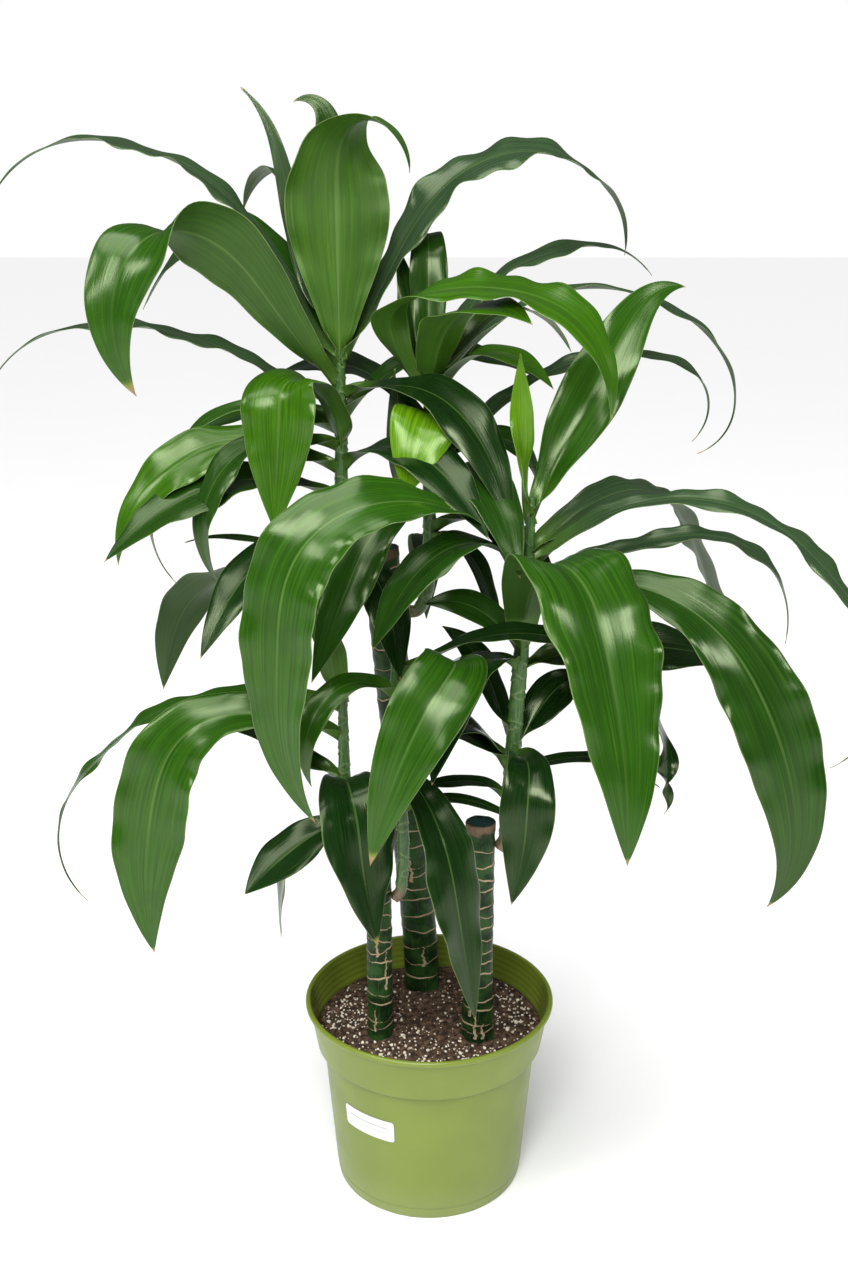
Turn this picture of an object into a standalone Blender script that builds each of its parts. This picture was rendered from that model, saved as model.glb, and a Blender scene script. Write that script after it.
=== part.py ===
"""Potted corn plant: three cut canes of different heights in a nursery pot, with five leafy shoots.

Everything is in metres, +Z up.  The origin is the centre of the pot's flat base, and the plant
faces -Y: +X is its right-hand side.  Each leaf is one thin solid whose midrib is steered by
a heading (turn about +Z, 0 = +X, 270 = forwards) and a pitch (angle above the horizontal) that
change along its length, so it rises from its shoot, arches over and hangs.
"""

import math

import bmesh
import bpy
import numpy as np

# Driving dimensions
RIM_DIAMETER = 0.254
POT_HEIGHT = 0.199
BASE_DIAMETER = 0.193
BAND_HEIGHT = 0.048
POT_WALL = 0.0020
FLOOR_THICKNESS = 0.0025
SOIL_LEVEL = 0.165
SOIL_CROWN = 0.005
CANE_DEPTH = 0.070
TOUCH_GAP = 0.0003
LEAF_THICKNESS = 0.0012
LEAF_STATIONS = 14

# Worked out from them
RIM_RADIUS = RIM_DIAMETER / 2
BASE_RADIUS = BASE_DIAMETER / 2
BAND_BOTTOM = POT_HEIGHT - BAND_HEIGHT
BODY_TOP_RADIUS = BASE_RADIUS + 0.0125
BAND_RADIUS = RIM_RADIUS - 0.0045
LEAF_STAND_OFF = 0.0034


# ---------------------------------------------------------------- scene and helpers

def clear_scene():
    """Remove whatever the file starts with."""
    for item in list(bpy.data.objects):
        bpy.data.objects.remove(item, do_unlink=True)


def new_collection(name):
    """Make a collection and link it to the scene."""
    group = bpy.data.collections.new(name)
    bpy.context.scene.collection.children.link(group)
    return group


def principled(name, colour, roughness):
    """A Principled BSDF material of one colour."""
    material = bpy.data.materials.new(name)
    material.use_nodes = True
    shader = material.node_tree.nodes["Principled BSDF"]
    shader.inputs["Base Color"].default_value = (*colour, 1.0)
    shader.inputs["Roughness"].default_value = roughness
    shader.inputs["Metallic"].default_value = 0.0
    material.diffuse_color = (*colour, 1.0)
    return material


def add_mesh(name, vertices, faces, group, material=None):
    """A mesh object from vertex and face lists."""
    mesh = bpy.data.meshes.new(name)
    mesh.from_pydata(vertices, [], faces)
    mesh.update()
    piece = bpy.data.objects.new(name, mesh)
    group.objects.link(piece)
    if material is not None:
        mesh.materials.append(material)
    return piece


def turned(name, profile, steps, group, material=None):
    """Turn a closed (radius, height) profile about +Z with a Screw modifier."""
    vertices = [(radius, 0.0, height) for radius, height in profile]
    mesh = bpy.data.meshes.new(name)
    mesh.from_pydata(vertices, [(i, i + 1) for i in range(len(vertices) - 1)], [])
    piece = bpy.data.objects.new(name, mesh)
    group.objects.link(piece)
    if material is not None:
        mesh.materials.append(material)
    screw = piece.modifiers.new("turn", "SCREW")
    screw.steps = steps
    screw.render_steps = steps
    screw.use_merge_vertices = True
    screw.merge_threshold = 0.00001
    screw.use_smooth_shade = True
    return piece


def cut(piece, cutter, label):
    """Subtract a cutter, which stays in its own collection as a wire guide."""
    cutter.hide_render = True
    cutter.display_type = "WIRE"
    boolean = piece.modifiers.new(label, "BOOLEAN")
    boolean.operation = "DIFFERENCE"
    boolean.solver = "EXACT"
    boolean.object = cutter


def tube(name, path, group, material=None, sides=3):
    """A tube through (x, y, z, radius) points, as a poly curve with filled caps."""
    curve = bpy.data.curves.new(name, "CURVE")
    curve.dimensions = "3D"
    curve.bevel_depth = 1.0
    curve.bevel_resolution = sides
    curve.use_fill_caps = True
    spline = curve.splines.new("POLY")
    spline.points.add(len(path) - 1)
    for point, (x, y, z, radius) in zip(spline.points, path):
        point.co = (x, y, z, 1.0)
        point.radius = radius
    piece = bpy.data.objects.new(name, curve)
    group.objects.link(piece)
    if material is not None:
        curve.materials.append(material)
    return piece


def eased(values, places):
    """Evenly spaced key values read at places 0..1 along a smooth (Hermite) curve."""
    keys = np.asarray(values, dtype=float)
    if len(keys) == 1:
        return np.full_like(places, keys[0])
    last = len(keys) - 1
    slopes = np.gradient(keys)
    span = np.clip((places * last).astype(int), 0, last - 1)
    t = places * last - span
    return (
        (2 * t**3 - 3 * t**2 + 1) * keys[span]
        + (t**3 - 2 * t**2 + t) * slopes[span]
        + (3 * t**2 - 2 * t**3) * keys[span + 1]
        + (t**3 - t**2) * slopes[span + 1]
    )


# ---------------------------------------------------------------- pot, label and soil

def pot_profile():
    """Section of the pot from the middle of its floor, up the inside, over the lip and down."""
    inner = POT_WALL
    return [
        (0.0, FLOOR_THICKNESS),
        (BASE_RADIUS - inner - 0.003, FLOOR_THICKNESS),
        (BASE_RADIUS - inner, FLOOR_THICKNESS + 0.003),
        (BODY_TOP_RADIUS - inner, BAND_BOTTOM),
        (BAND_RADIUS - inner - 0.0075, BAND_BOTTOM + 0.003),
        (BAND_RADIUS - inner, POT_HEIGHT - 0.008),
        (RIM_RADIUS - inner - 0.0025, POT_HEIGHT - 0.0015),
        (RIM_RADIUS - 0.0020, POT_HEIGHT),
        (RIM_RADIUS, POT_HEIGHT - 0.0020),
        (RIM_RADIUS, POT_HEIGHT - 0.0045),
        (BAND_RADIUS, POT_HEIGHT - 0.0075),
        (BAND_RADIUS - 0.0075, BAND_BOTTOM),
        (BODY_TOP_RADIUS, BAND_BOTTOM - 0.002),
        (BASE_RADIUS + 0.0006, 0.013),
        (BASE_RADIUS, 0.012),
        (BASE_RADIUS - 0.001, 0.002),
        (BASE_RADIUS - 0.003, 0.0),
        (0.0, 0.0),
    ]


def wall_radius(height):
    """Outer radius of the pot's plain body at a height between its base and its band."""
    share = (height - 0.013) / (BAND_BOTTOM - 0.002 - 0.013)
    return BASE_RADIUS + 0.0006 + share * (BODY_TOP_RADIUS - BASE_RADIUS - 0.0006)


def make_pot(group, cutters):
    """The moulded pot: tapered body, banded rim with a rolled lip, and drain holes in the floor."""
    plastic = principled("pot_plastic", (0.27, 0.36, 0.08), 0.42)
    pot = turned("pot", pot_profile(), 56, group, plastic)
    holes = 8
    for i in range(holes):
        angle = 2 * math.pi * (i + 0.5) / holes
        bpy.ops.mesh.primitive_cylinder_add(
            vertices=12,
            radius=0.0045,
            depth=4 * FLOOR_THICKNESS,
            location=(0.076 * math.cos(angle), 0.076 * math.sin(angle), 0.0),
        )
        drill = bpy.context.object
        drill.name = f"drain_drill_{i + 1}"
        for home in list(drill.users_collection):
            home.objects.unlink(drill)
        cutters.objects.link(drill)
        cut(pot, drill, f"drain_hole_{i + 1}")
    return pot


def make_label(group):
    """The white sticker on the left front of the body: a thin sheet curved round the wall."""
    paper = principled("label_paper", (0.85, 0.85, 0.83), 0.5)
    half_turn = math.radians(16.5)
    middle = math.radians(270 - 35.6)
    low, high = 0.091, 0.115
    columns, rows = 12, 2
    vertices = []
    for j in range(rows + 1):
        height = low + (high - low) * j / rows
        radius = wall_radius(height) + TOUCH_GAP + 0.0001
        for i in range(columns + 1):
            angle = middle - half_turn + 2 * half_turn * i / columns
            vertices.append((radius * math.cos(angle), radius * math.sin(angle), height))
    faces = []
    for j in range(rows):
        for i in range(columns):
            corner = j * (columns + 1) + i
            faces.append((corner, corner + 1, corner + columns + 2, corner + columns + 1))
    label = add_mesh("label", vertices, faces, group, paper)
    sheet = label.modifiers.new("thickness", "SOLIDIFY")
    sheet.thickness = 0.0003
    sheet.offset = 1.0
    return label


def make_soil(group, canes):
    """The potting mix: it fills the pot to below the rim, with a hole round each cane."""
    mix = principled("potting_mix", (0.06, 0.04, 0.03), 0.95)
    inset = POT_WALL + TOUCH_GAP + 0.0004
    top_share = (SOIL_LEVEL - BAND_BOTTOM - 0.003) / (POT_HEIGHT - 0.011 - BAND_BOTTOM)
    top_radius = BAND_RADIUS - inset - 0.0075 * (1 - top_share)
    floor = FLOOR_THICKNESS + TOUCH_GAP
    profile = [
        (0.0, SOIL_LEVEL + SOIL_CROWN),
        (0.035, SOIL_LEVEL + 0.9 * SOIL_CROWN),
        (0.070, SOIL_LEVEL + 0.6 * SOIL_CROWN),
        (0.098, SOIL_LEVEL + 0.15 * SOIL_CROWN),
        (top_radius, SOIL_LEVEL - 0.001),
        (BAND_RADIUS - 0.0075 - inset, BAND_BOTTOM + 0.0036),
        (BODY_TOP_RADIUS - inset, BAND_BOTTOM + 0.0002),
        (BASE_RADIUS - inset - 0.0004, floor + 0.004),
        (BASE_RADIUS - inset - 0.0040, floor),
        (0.0, floor),
    ]
    soil = turned("soil", profile, 56, group, mix)
    for cane in canes:
        cut(soil, cane, f"hole_for_{cane.name}")
    return soil


# ---------------------------------------------------------------- canes and shoots

CANES = {
    # (x, y, z, radius) from the soil up; each also runs CANE_DEPTH down into the soil
    "cane_front_left": [
        (-0.050, -0.027, SOIL_LEVEL, 0.0128),
        (-0.050, -0.027, 0.300, 0.0124),
        (-0.0505, -0.027, 0.408, 0.0122),
    ],
    "cane_back": [
        (-0.0075, 0.070, SOIL_LEVEL, 0.0185),
        (-0.0240, 0.066, 0.380, 0.0175),
        (-0.0440, 0.060, 0.602, 0.0174),
        (-0.0475, 0.059, 0.655, 0.0170),
    ],
    "cane_right": [
        (0.0490, -0.027, SOIL_LEVEL, 0.0170),
        (0.0490, -0.027, 0.215, 0.0148),
        (0.0492, -0.027, 0.330, 0.0142),
        (0.0495, -0.027, 0.402, 0.0142),
    ],
}

SHOOTS = {
    "left_top": [
        (-0.0655, 0.058, 0.605, 0.0045),
        (-0.0745, 0.0555, 0.607, 0.005),
        (-0.082, 0.051, 0.625, 0.0052),
        (-0.084, 0.05, 0.66, 0.0052),
        (-0.084, 0.05, 0.78, 0.0048),
        (-0.084, 0.05, 0.87, 0.003),
    ],
    "middle_top": [
        (-0.0235, 0.0595, 0.59, 0.0045),
        (-0.013, 0.056, 0.592, 0.005),
        (-0.0035, 0.0515, 0.61, 0.0052),
        (-0.001, 0.05, 0.645, 0.0052),
        (-0.001, 0.05, 0.76, 0.0048),
        (-0.001, 0.05, 0.84, 0.003),
    ],
    "right": [
        (0.069, -0.027, 0.374, 0.0055),
        (0.0735, -0.0265, 0.381, 0.0062),
        (0.0765, -0.025, 0.4, 0.0066),
        (0.0785, -0.0235, 0.44, 0.0066),
        (0.082, -0.02, 0.505, 0.0062),
        (0.089, -0.02, 0.62, 0.0055),
        (0.093, -0.02, 0.72, 0.003),
    ],
    "left_low": [
        (-0.0662, -0.0275, 0.386, 0.0045),
        (-0.074, -0.029, 0.391, 0.005),
        (-0.0805, -0.03, 0.41, 0.005),
        (-0.0815, -0.03, 0.45, 0.0048),
        (-0.082, -0.03, 0.56, 0.0028),
    ],
    "front_low": [
        (-0.0338, -0.0285, 0.322, 0.004),
        (-0.0295, -0.03, 0.328, 0.0045),
        (-0.027, -0.031, 0.345, 0.0046),
        (-0.027, -0.031, 0.42, 0.0046),
        (-0.032, -0.03, 0.48, 0.0044),
        (-0.033, -0.03, 0.565, 0.0028),
    ],
}


def smooth_path(points, spacing):
    """Read a path's key points along a smooth curve, one point every `spacing` metres."""
    keys = np.asarray(points, dtype=float)
    length = np.linalg.norm(np.diff(keys[:, :3], axis=0), axis=1).sum()
    along = np.concatenate(([0.0], np.linalg.norm(np.diff(keys[:, :3], axis=0), axis=1).cumsum()))
    places = np.linspace(0.0, length, max(3, int(round(length / spacing)) + 1))
    slopes = np.gradient(keys, along, axis=0)
    span = np.clip(np.searchsorted(along, places, side="right") - 1, 0, len(keys) - 2)
    step = (along[span + 1] - along[span])[:, None]
    t = (places - along[span])[:, None] / step
    return (
        (2 * t**3 - 3 * t**2 + 1) * keys[span]
        + (t**3 - 2 * t**2 + t) * slopes[span] * step
        + (3 * t**2 - 2 * t**3) * keys[span + 1]
        + (t**3 - t**2) * slopes[span + 1] * step
    )


def make_canes(group, cutters):
    """The three woody canes, and for each a slightly fatter cutter for its hole in the soil."""
    bark = principled("cane_bark", (0.03, 0.07, 0.04), 0.5)
    guides = []
    for name, points in CANES.items():
        x, y, z, radius = points[0]
        rooted = [(x, y, z - CANE_DEPTH, radius), *points]
        path = smooth_path(rooted, 0.035)
        tube(name, path, group, bark, sides=6)
        wider = path.copy()
        wider[:, 3] += TOUCH_GAP
        wider[0, 2] -= TOUCH_GAP
        guide = tube(f"hole_{name}", wider[: 5], cutters, sides=6)
        guides.append(as_mesh(guide, cutters))
    return guides


def as_mesh(piece, group):
    """Replace a curve object by its own closed mesh, so that it can cut."""
    bpy.context.view_layer.update()
    evaluated = piece.evaluated_get(bpy.context.evaluated_depsgraph_get())
    mesh = bpy.data.meshes.new_from_object(evaluated)
    welded = bmesh.new()
    welded.from_mesh(mesh)
    bmesh.ops.remove_doubles(welded, verts=welded.verts, dist=0.00001)
    bmesh.ops.recalc_face_normals(welded, faces=welded.faces)
    welded.to_mesh(mesh)
    welded.free()
    name = piece.name
    matrix = piece.matrix_world.copy()
    bpy.data.objects.remove(piece, do_unlink=True)
    solid = bpy.data.objects.new(name, mesh)
    solid.matrix_world = matrix
    group.objects.link(solid)
    return solid


def make_shoots(group):
    """The green stems that grew from the sides of the canes and carry the leaves."""
    stem = principled("shoot_stem", (0.06, 0.13, 0.04), 0.5)
    for name, points in SHOOTS.items():
        tube(f"shoot_{name}", smooth_path(points, 0.02), group, stem, sides=2)


# ---------------------------------------------------------------- leaves

# Each row: name, height where it leaves its shoot, length, width, where it is widest, then
# headings, pitches and rolls.  Headings, pitches and rolls are in degrees, evenly spread from base to tip;
# a positive roll turns the blade's face towards its own left as seen from the shoot.
LEAVES = {
    "left_top": [
        ("far_arch", 0.832, 0.44, 0.034, 0.64, (170,), (58, 60, 30, -2, -55), (-10,)),
        ("big_fold", 0.815, 0.385, 0.078, 0.54,
         (205, 215), (50, 52, 50, 15, -50, -90, -125),
         (10, 50, 55, 35, -40, -55, -60)),
        ("behind_fold", 0.82, 0.3, 0.075, 0.54, (158,), (66, 58, 28, -35, -60), (-5, -30, -30)),
        ("low_arch", 0.793, 0.38, 0.03, 0.54, (165, 172), (28, 24, 8, -12, -55), (-10,)),
        ("young_spear", 0.87, 0.23, 0.02, 0.46,
         (156, 166, 176), (42, 74, 79, 72, 40),
         (-30, -75, -80, -80)),
        ("back_upright", 0.843, 0.252, 0.054, 0.46,
         (90, 100, 130, 165, 180), (76, 77, 79, 84, 86, 78, -30),
         (0, -10, -40, -70, -80)),
        ("broad_upright", 0.84, 0.29, 0.098, 0.46,
         (270, 270, 270, 275, 320, 345, 345), (86, 89, 90, 90, 58, -30, -88),
         (0,)),
        ("right_arch", 0.838, 0.425, 0.054, 0.64,
         (26, 12, 12), (60, 62, 55, 29, -6, -45, -97),
         (0, 30, 20, 0)),
        ("front_fold", 0.757, 0.238, 0.072, 0.54,
         (270, 222, 212, 245, 240, 235, 235), (66, 60, 25, -72, -84, -84, -84),
         (0, 0, 0, -10, -25, -30, -30)),
        ("right_drape", 0.806, 0.245, 0.048, 0.54, (333, 320), (20, -1, -36, -62, -72), (0, 35, 40)),
        ("left_short", 0.772, 0.215, 0.035, 0.54, (160, 172), (12, 8, -15, -45, -90), (-20,)),
        ("left_ribbon", 0.785, 0.31, 0.02, 0.54, (178, 182), (18, -5, -50, -80, -135), (-20,)),
        ("left_curl", 0.757, 0.235, 0.035, 0.54, (208, 214), (15, 0, -45, -85, -125), (-20,)),
        ("left_broad", 0.735, 0.27, 0.05, 0.54, (192, 196), (25, 15, -25, -50, -88), (-10, -50, -40)),
        ("left_hang", 0.622, 0.275, 0.062, 0.54, (165,), (8, 0, -30, -68, -82), (0, 30, 60)),
    ],
    "middle_top": [
        ("back_upright", 0.832, 0.185, 0.037, 0.46, (90,), (80, 80, 75, 0, -70), (0,)),
        ("bright_arch", 0.8, 0.385, 0.056, 0.64,
         (200, 240, 325, 335, 335, 335, 335), (64, 54, 22, 2, -18, -58, -98),
         (0, 20, 20)),
        ("back_arch", 0.818, 0.3, 0.03, 0.64, (28, 22), (70, 50, 20, 0, -50), (0, 20)),
        ("long_ribbon", 0.812, 0.445, 0.028, 0.64, (5, 12), (52, 40, 12, -15, -40, -82, -165), (0, 20)),
        ("front_broad", 0.806, 0.205, 0.062, 0.54, (280, 318), (68, 50, 25, 0, -30), (0, 20)),
        ("front_olive", 0.795, 0.15, 0.048, 0.54, (332, 342), (62, 50, 12, -30, -50), (0, 20)),
        ("back_right", 0.8, 0.25, 0.05, 0.54, (45,), (55, 45, 10, -25, -50), (0, 20)),
        ("right_ribbon", 0.735, 0.38, 0.025, 0.64, (15,), (50, 35, 8, -25, -140), (20,)),
        ("front_hang", 0.69, 0.24, 0.048, 0.54,
         (245, 225, 205), (30, -10, -55, -64, -68),
         (0, -30, -50)),
        ("bright_fold", 0.742, 0.156, 0.064, 0.54,
         (270, 270, 235, 198), (80, 62, -30, -70, -74),
         (0, 0, -30, -50)),
        ("right_hang", 0.665, 0.13, 0.03, 0.54, (325,), (20, -30, -60, -70, -75), (0,)),
        ("back_hang", 0.62, 0.2, 0.04, 0.54, (90,), (60, 20, -40, -80, -85), (0,)),
    ],
    "right": [
        ("long_left", 0.625, 0.54, 0.074, 0.62,
         (205, 215, 204, 191, 188, 185), (80, 30, -12, -78, -92, -124),
         (0, -20, -50, -60, -60)),
        ("broad_upright", 0.705, 0.27, 0.06, 0.46, (30,), (68, 60, 57, 50, -10), (10, 55, 60)),
        ("young_spear", 0.7, 0.15, 0.029, 0.46, (180,), (88,), (0, -20, -80, -110)),
        ("back_broad", 0.668, 0.43, 0.066, 0.64, (34,), (40, 8, -52, -68, -66), (20,)),
        ("glossy_front", 0.568, 0.428, 0.11, 0.5,
         (270, 292, 301, 293, 272), (84, 40, -57, -70, -90),
         (0,)),
        ("far_arch", 0.655, 0.52, 0.032, 0.64, (350,), (52, 10, -38, -68, -150), (20,)),
        ("thin_arch", 0.628, 0.33, 0.027, 0.64, (10, 3), (42, 16, 0, -50, -100), (20,)),
        ("broad_right", 0.614, 0.47, 0.076, 0.62,
         (335,), (42, 8, -28, -56, -70, -88, -125),
         (0, 30, 50, 60, 60)),
        ("left_dark", 0.46, 0.12, 0.04, 0.54, (200,), (60, 60, 20, -30, -60), (0, -30)),
        ("front_fold", 0.468, 0.185, 0.052, 0.54,
         (285, 275, 252, 226, 215), (40, -8, -78, -76, -72),
         (0, 0, -18, -40, -50)),
        ("left_upright", 0.49, 0.125, 0.035, 0.54, (152,), (76, 70, 60, 40, 20), (0, -40)),
    ],
    "left_low": [
        ("glossy_left", 0.492, 0.385, 0.078, 0.62,
         (180, 192, 195), (28, -2, -68, -84, -100),
         (-10, -40, -60, -65, -65)),
        ("far_ribbon", 0.52, 0.475, 0.026, 0.54,
         (160, 168), (14, -6, -18, -40, -50, -85, -140),
         (-20,)),
        ("lime_spear", 0.527, 0.096, 0.03, 0.54, (240,), (76,), (0, 50)),
        ("back_upright", 0.545, 0.13, 0.03, 0.54, (140,), (68, 68, 62, 40), (0, -20)),
        ("front_dark", 0.44, 0.22, 0.074, 0.54,
         (272, 280, 296, 312, 318), (55, 5, -72, -76, -72),
         (0,)),
        ("low_left", 0.405, 0.115, 0.056, 0.54, (208,), (-10, -30, -40), (-20,)),
        ("low_hang", 0.398, 0.155, 0.036, 0.54, (175,), (0, -40, -72, -86, -92), (-20,)),
    ],
    "front_low": [
        ("long_dark", 0.552, 0.375, 0.048, 0.64,
         (348, 346, 344, 346, 346, 352, 0), (38, 26, 4, -22, -54, -78, -128),
         (0, 30)),
        ("left_curl", 0.535, 0.17, 0.03, 0.54, (220,), (45, 10, -40, -80, -115), (-20,)),
        ("bright_front", 0.49, 0.34, 0.068, 0.54,
         (322, 318, 225, 200, 200), (66, 50, -42, -68, -77),
         (0, 0, -40, -65, -65)),
        ("glossy_hang", 0.45, 0.27, 0.058, 0.54, (290, 308, 312), (30, -35, -72, -76, -76), (0,)),
    ],
}


def on_shoot(shoot, height):
    """The point on a shoot's axis at a height, with the stem's radius there."""
    keys = np.asarray(SHOOTS[shoot], dtype=float)
    order = np.argsort(keys[:, 2])
    keys = keys[order]
    return np.array([np.interp(height, keys[:, 2], keys[:, k]) for k in range(4)])


def blade_width(places, width, widest):
    """Width along a leaf: a narrow clasping base, widest at `widest`, then a long point."""
    base = 0.014 / width
    swell = np.sin(np.clip(places / widest, 0, 1) * math.pi / 2) ** 1.7
    taper = np.clip((places - widest) / (1 - widest), 0, 1)
    point = 1 - taper**1.5
    return np.maximum(width * np.where(places < widest, base + (1 - base) * swell, point), 0.0030)


def leaf_sheet(shoot, height, length, width, widest, headings, pitches, rolls):
    """Grid of points of one leaf: three across (a shallow V) by LEAF_STATIONS + 1 along.

    The midrib is the running sum of unit steps in the direction (heading, pitch); the blade's
    side direction is level and square to the heading, then rolled about the midrib.
    """
    places = np.linspace(0.0, 1.0, LEAF_STATIONS + 1)
    heading = np.radians(eased(headings, places))
    pitch = np.radians(eased(pitches, places))
    roll = np.radians(eased(rolls, places))
    along = np.stack(
        (np.cos(pitch) * np.cos(heading), np.cos(pitch) * np.sin(heading), np.sin(pitch)), axis=-1
    )
    level = np.stack((-np.sin(heading), np.cos(heading), np.zeros_like(heading)), axis=-1)
    upper = np.cross(along, level)
    side = level * np.cos(roll)[:, None] + upper * np.sin(roll)[:, None]
    face = upper * np.cos(roll)[:, None] - level * np.sin(roll)[:, None]
    x, y, z, radius = on_shoot(shoot, height)
    outwards = np.array((math.cos(heading[0]), math.sin(heading[0]), 0.0))
    start = np.array((x, y, z)) + (radius + LEAF_STAND_OFF) * outwards
    steps = (along[1:] + along[:-1]) / 2 * length / LEAF_STATIONS
    midrib = start + np.vstack((np.zeros(3), np.cumsum(steps, axis=0)))
    half = blade_width(places, width, widest)[:, None] / 2
    fold = np.radians(eased((25, 18, 12, 10, 8), places))[:, None]
    lift = half * face * np.sin(fold)
    reach = half * side * np.cos(fold)
    return np.stack((midrib - reach + lift, midrib, midrib + reach + lift), axis=1)


def make_leaf(name, sheet, group, material):
    """One closed leaf: the folded sheet given its thickness."""
    stations = sheet.shape[0]
    vertices = sheet.reshape(-1, 3).tolist()
    faces = []
    for i in range(stations - 1):
        for j in range(2):
            corner = 3 * i + j
            faces.append((corner, corner + 3, corner + 4, corner + 1))
    leaf = add_mesh(name, vertices, faces, group, material)
    blade = leaf.modifiers.new("thickness", "SOLIDIFY")
    blade.thickness = LEAF_THICKNESS
    blade.offset = 0.0
    return leaf


def make_leaves(group):
    """All leaves, shoot by shoot."""
    green = principled("leaf_green", (0.05, 0.17, 0.03), 0.32)
    for shoot, rows in LEAVES.items():
        for name, height, length, width, widest, headings, pitches, rolls in rows:
            sheet = leaf_sheet(shoot, height, length, width, widest, headings, pitches, rolls)
            make_leaf(f"leaf_{shoot}_{name}", sheet, group, green)


# ---------------------------------------------------------------- the plant

clear_scene()
plant = new_collection("potted_corn_plant")
guides = new_collection("cutters")
make_pot(plant, guides)
make_label(plant)
soil_holes = make_canes(plant, guides)
make_soil(plant, soil_holes)
make_shoots(plant)
make_leaves(plant)
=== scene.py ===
"""A potted corn plant: three cut woody canes and five leafy shoots in an olive-green nursery pot."""

import math

import bmesh
import bpy
import numpy as np
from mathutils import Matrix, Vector


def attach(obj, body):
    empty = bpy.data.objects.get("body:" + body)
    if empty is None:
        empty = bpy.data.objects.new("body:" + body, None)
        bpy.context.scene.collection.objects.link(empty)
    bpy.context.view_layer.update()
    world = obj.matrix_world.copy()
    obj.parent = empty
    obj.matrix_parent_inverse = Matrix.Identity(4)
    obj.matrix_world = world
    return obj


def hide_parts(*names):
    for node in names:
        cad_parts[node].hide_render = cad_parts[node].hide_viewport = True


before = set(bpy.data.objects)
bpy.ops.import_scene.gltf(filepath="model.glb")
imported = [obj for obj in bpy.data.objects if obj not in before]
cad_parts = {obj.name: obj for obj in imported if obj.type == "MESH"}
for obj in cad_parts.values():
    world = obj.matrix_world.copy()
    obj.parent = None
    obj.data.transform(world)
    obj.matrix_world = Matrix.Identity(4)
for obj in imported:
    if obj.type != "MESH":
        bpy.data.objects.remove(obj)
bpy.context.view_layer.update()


# ---------------------------------------------------------------- the pot
# One thin-walled moulded pot of olive-green plastic.  It has a plain tapered body, a wider band
# above it with a rolled lip, fine turned ridges inside the band, and drain holes in the floor.

RIM_RADIUS = 0.127
POT_HEIGHT = 0.199
BASE_RADIUS = 0.0965
BAND_BOTTOM = 0.151
BODY_TOP_RADIUS = 0.109
BAND_RADIUS = 0.1225
POT_WALL = 0.0020
FLOOR_THICKNESS = 0.0025
POT_GREEN = (0.160, 0.212, 0.020)


def node(tree, kind, settings=None, inputs=None):
    """Add a shader node; an input value is either a plain value or another node's output."""
    made = tree.nodes.new(kind)
    for name, value in (settings or {}).items():
        setattr(made, name, value)
    for name, value in (inputs or {}).items():
        if isinstance(value, bpy.types.NodeSocket):
            tree.links.new(value, made.inputs[name])
        else:
            made.inputs[name].default_value = value
    return made


def calc(tree, operation, first, second=0.5, third=0.5, clamp=False):
    """One Math node's result; MULTIPLY_ADD adds `third`, and COMPARE allows that much difference."""
    settings = {"operation": operation, "use_clamp": clamp}
    return node(tree, "ShaderNodeMath", settings, {0: first, 1: second, 2: third}).outputs[0]


def times(tree, first, second):
    """One value multiplied by another."""
    return calc(tree, "MULTIPLY", first, second)


def stored(tree, name):
    """A number that is stored on the vertices under a name."""
    return node(tree, "ShaderNodeAttribute", {"attribute_name": name}).outputs[2]


def between(tree, value, low, high):
    """0 at `low`, 1 at `high`, smooth between them and level outside them."""
    settings = {"interpolation_type": "SMOOTHSTEP"}
    return node(tree, "ShaderNodeMapRange", settings, {0: value, 1: low, 2: high}).outputs[0]


def blended(tree, share, first, second, kind="MIX"):
    """Mix two colours; a plain colour is an (r, g, b) triple."""
    first, second = (
        (*c, 1.0) if isinstance(c, tuple) else c for c in (first, second)
    )
    settings = {"data_type": "RGBA", "blend_type": kind}
    return node(tree, "ShaderNodeMix", settings, {0: share, 6: first, 7: second}).outputs[2]


def noise(tree, vector, scale, detail=2.0, rough=0.5):
    """Noise of about 0.3 to 0.7 along a vector."""
    inputs = {"Vector": vector, "Scale": scale, "Detail": detail, "Roughness": rough}
    return node(tree, "ShaderNodeTexNoise", None, inputs).outputs[0]


def new_material(name, roughness, specular=0.5):
    """A material with an empty Principled shader; returns it, its tree, shader and object point."""
    made = bpy.data.materials.new(name)
    made.use_nodes = True
    tree = made.node_tree
    shader = tree.nodes["Principled BSDF"]
    shader.inputs["Roughness"].default_value = roughness
    shader.inputs["Specular IOR Level"].default_value = specular
    place = tree.nodes.new("ShaderNodeTexCoord").outputs["Object"]
    return made, tree, shader, place


def bumped(tree, shader, height, depth, strength=1.0):
    """Give a shader a bump of `depth` metres from a 0 to 1 height."""
    inputs = {"Strength": strength, "Distance": depth, "Height": height}
    made = node(tree, "ShaderNodeBump", None, inputs)
    tree.links.new(made.outputs[0], shader.inputs["Normal"])


def pot_material():
    """Satin moulded plastic: cloudy sheen, fine grain, a little dust low on the body."""
    made, tree, shader, place = new_material("moulded_olive_plastic", 0.38)
    height = node(tree, "ShaderNodeSeparateXYZ", None, {0: place}).outputs[2]
    cloud = noise(tree, place, 22.0, 3.0)
    colour = blended(tree, between(tree, cloud, 0.35, 0.65), POT_GREEN, (0.148, 0.198, 0.018))
    dusty = times(tree, between(tree, height, 0.05, 0.0), 0.25)
    colour = blended(tree, dusty, colour, (0.26, 0.29, 0.14))
    tree.links.new(colour, shader.inputs["Base Color"])
    rough = calc(tree, "MULTIPLY_ADD", cloud, 0.20, 0.27)
    tree.links.new(rough, shader.inputs["Roughness"])
    grain = noise(tree, place, 900.0, 2.0)
    bumped(tree, shader, grain, 0.00010, 0.5)
    return made


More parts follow.
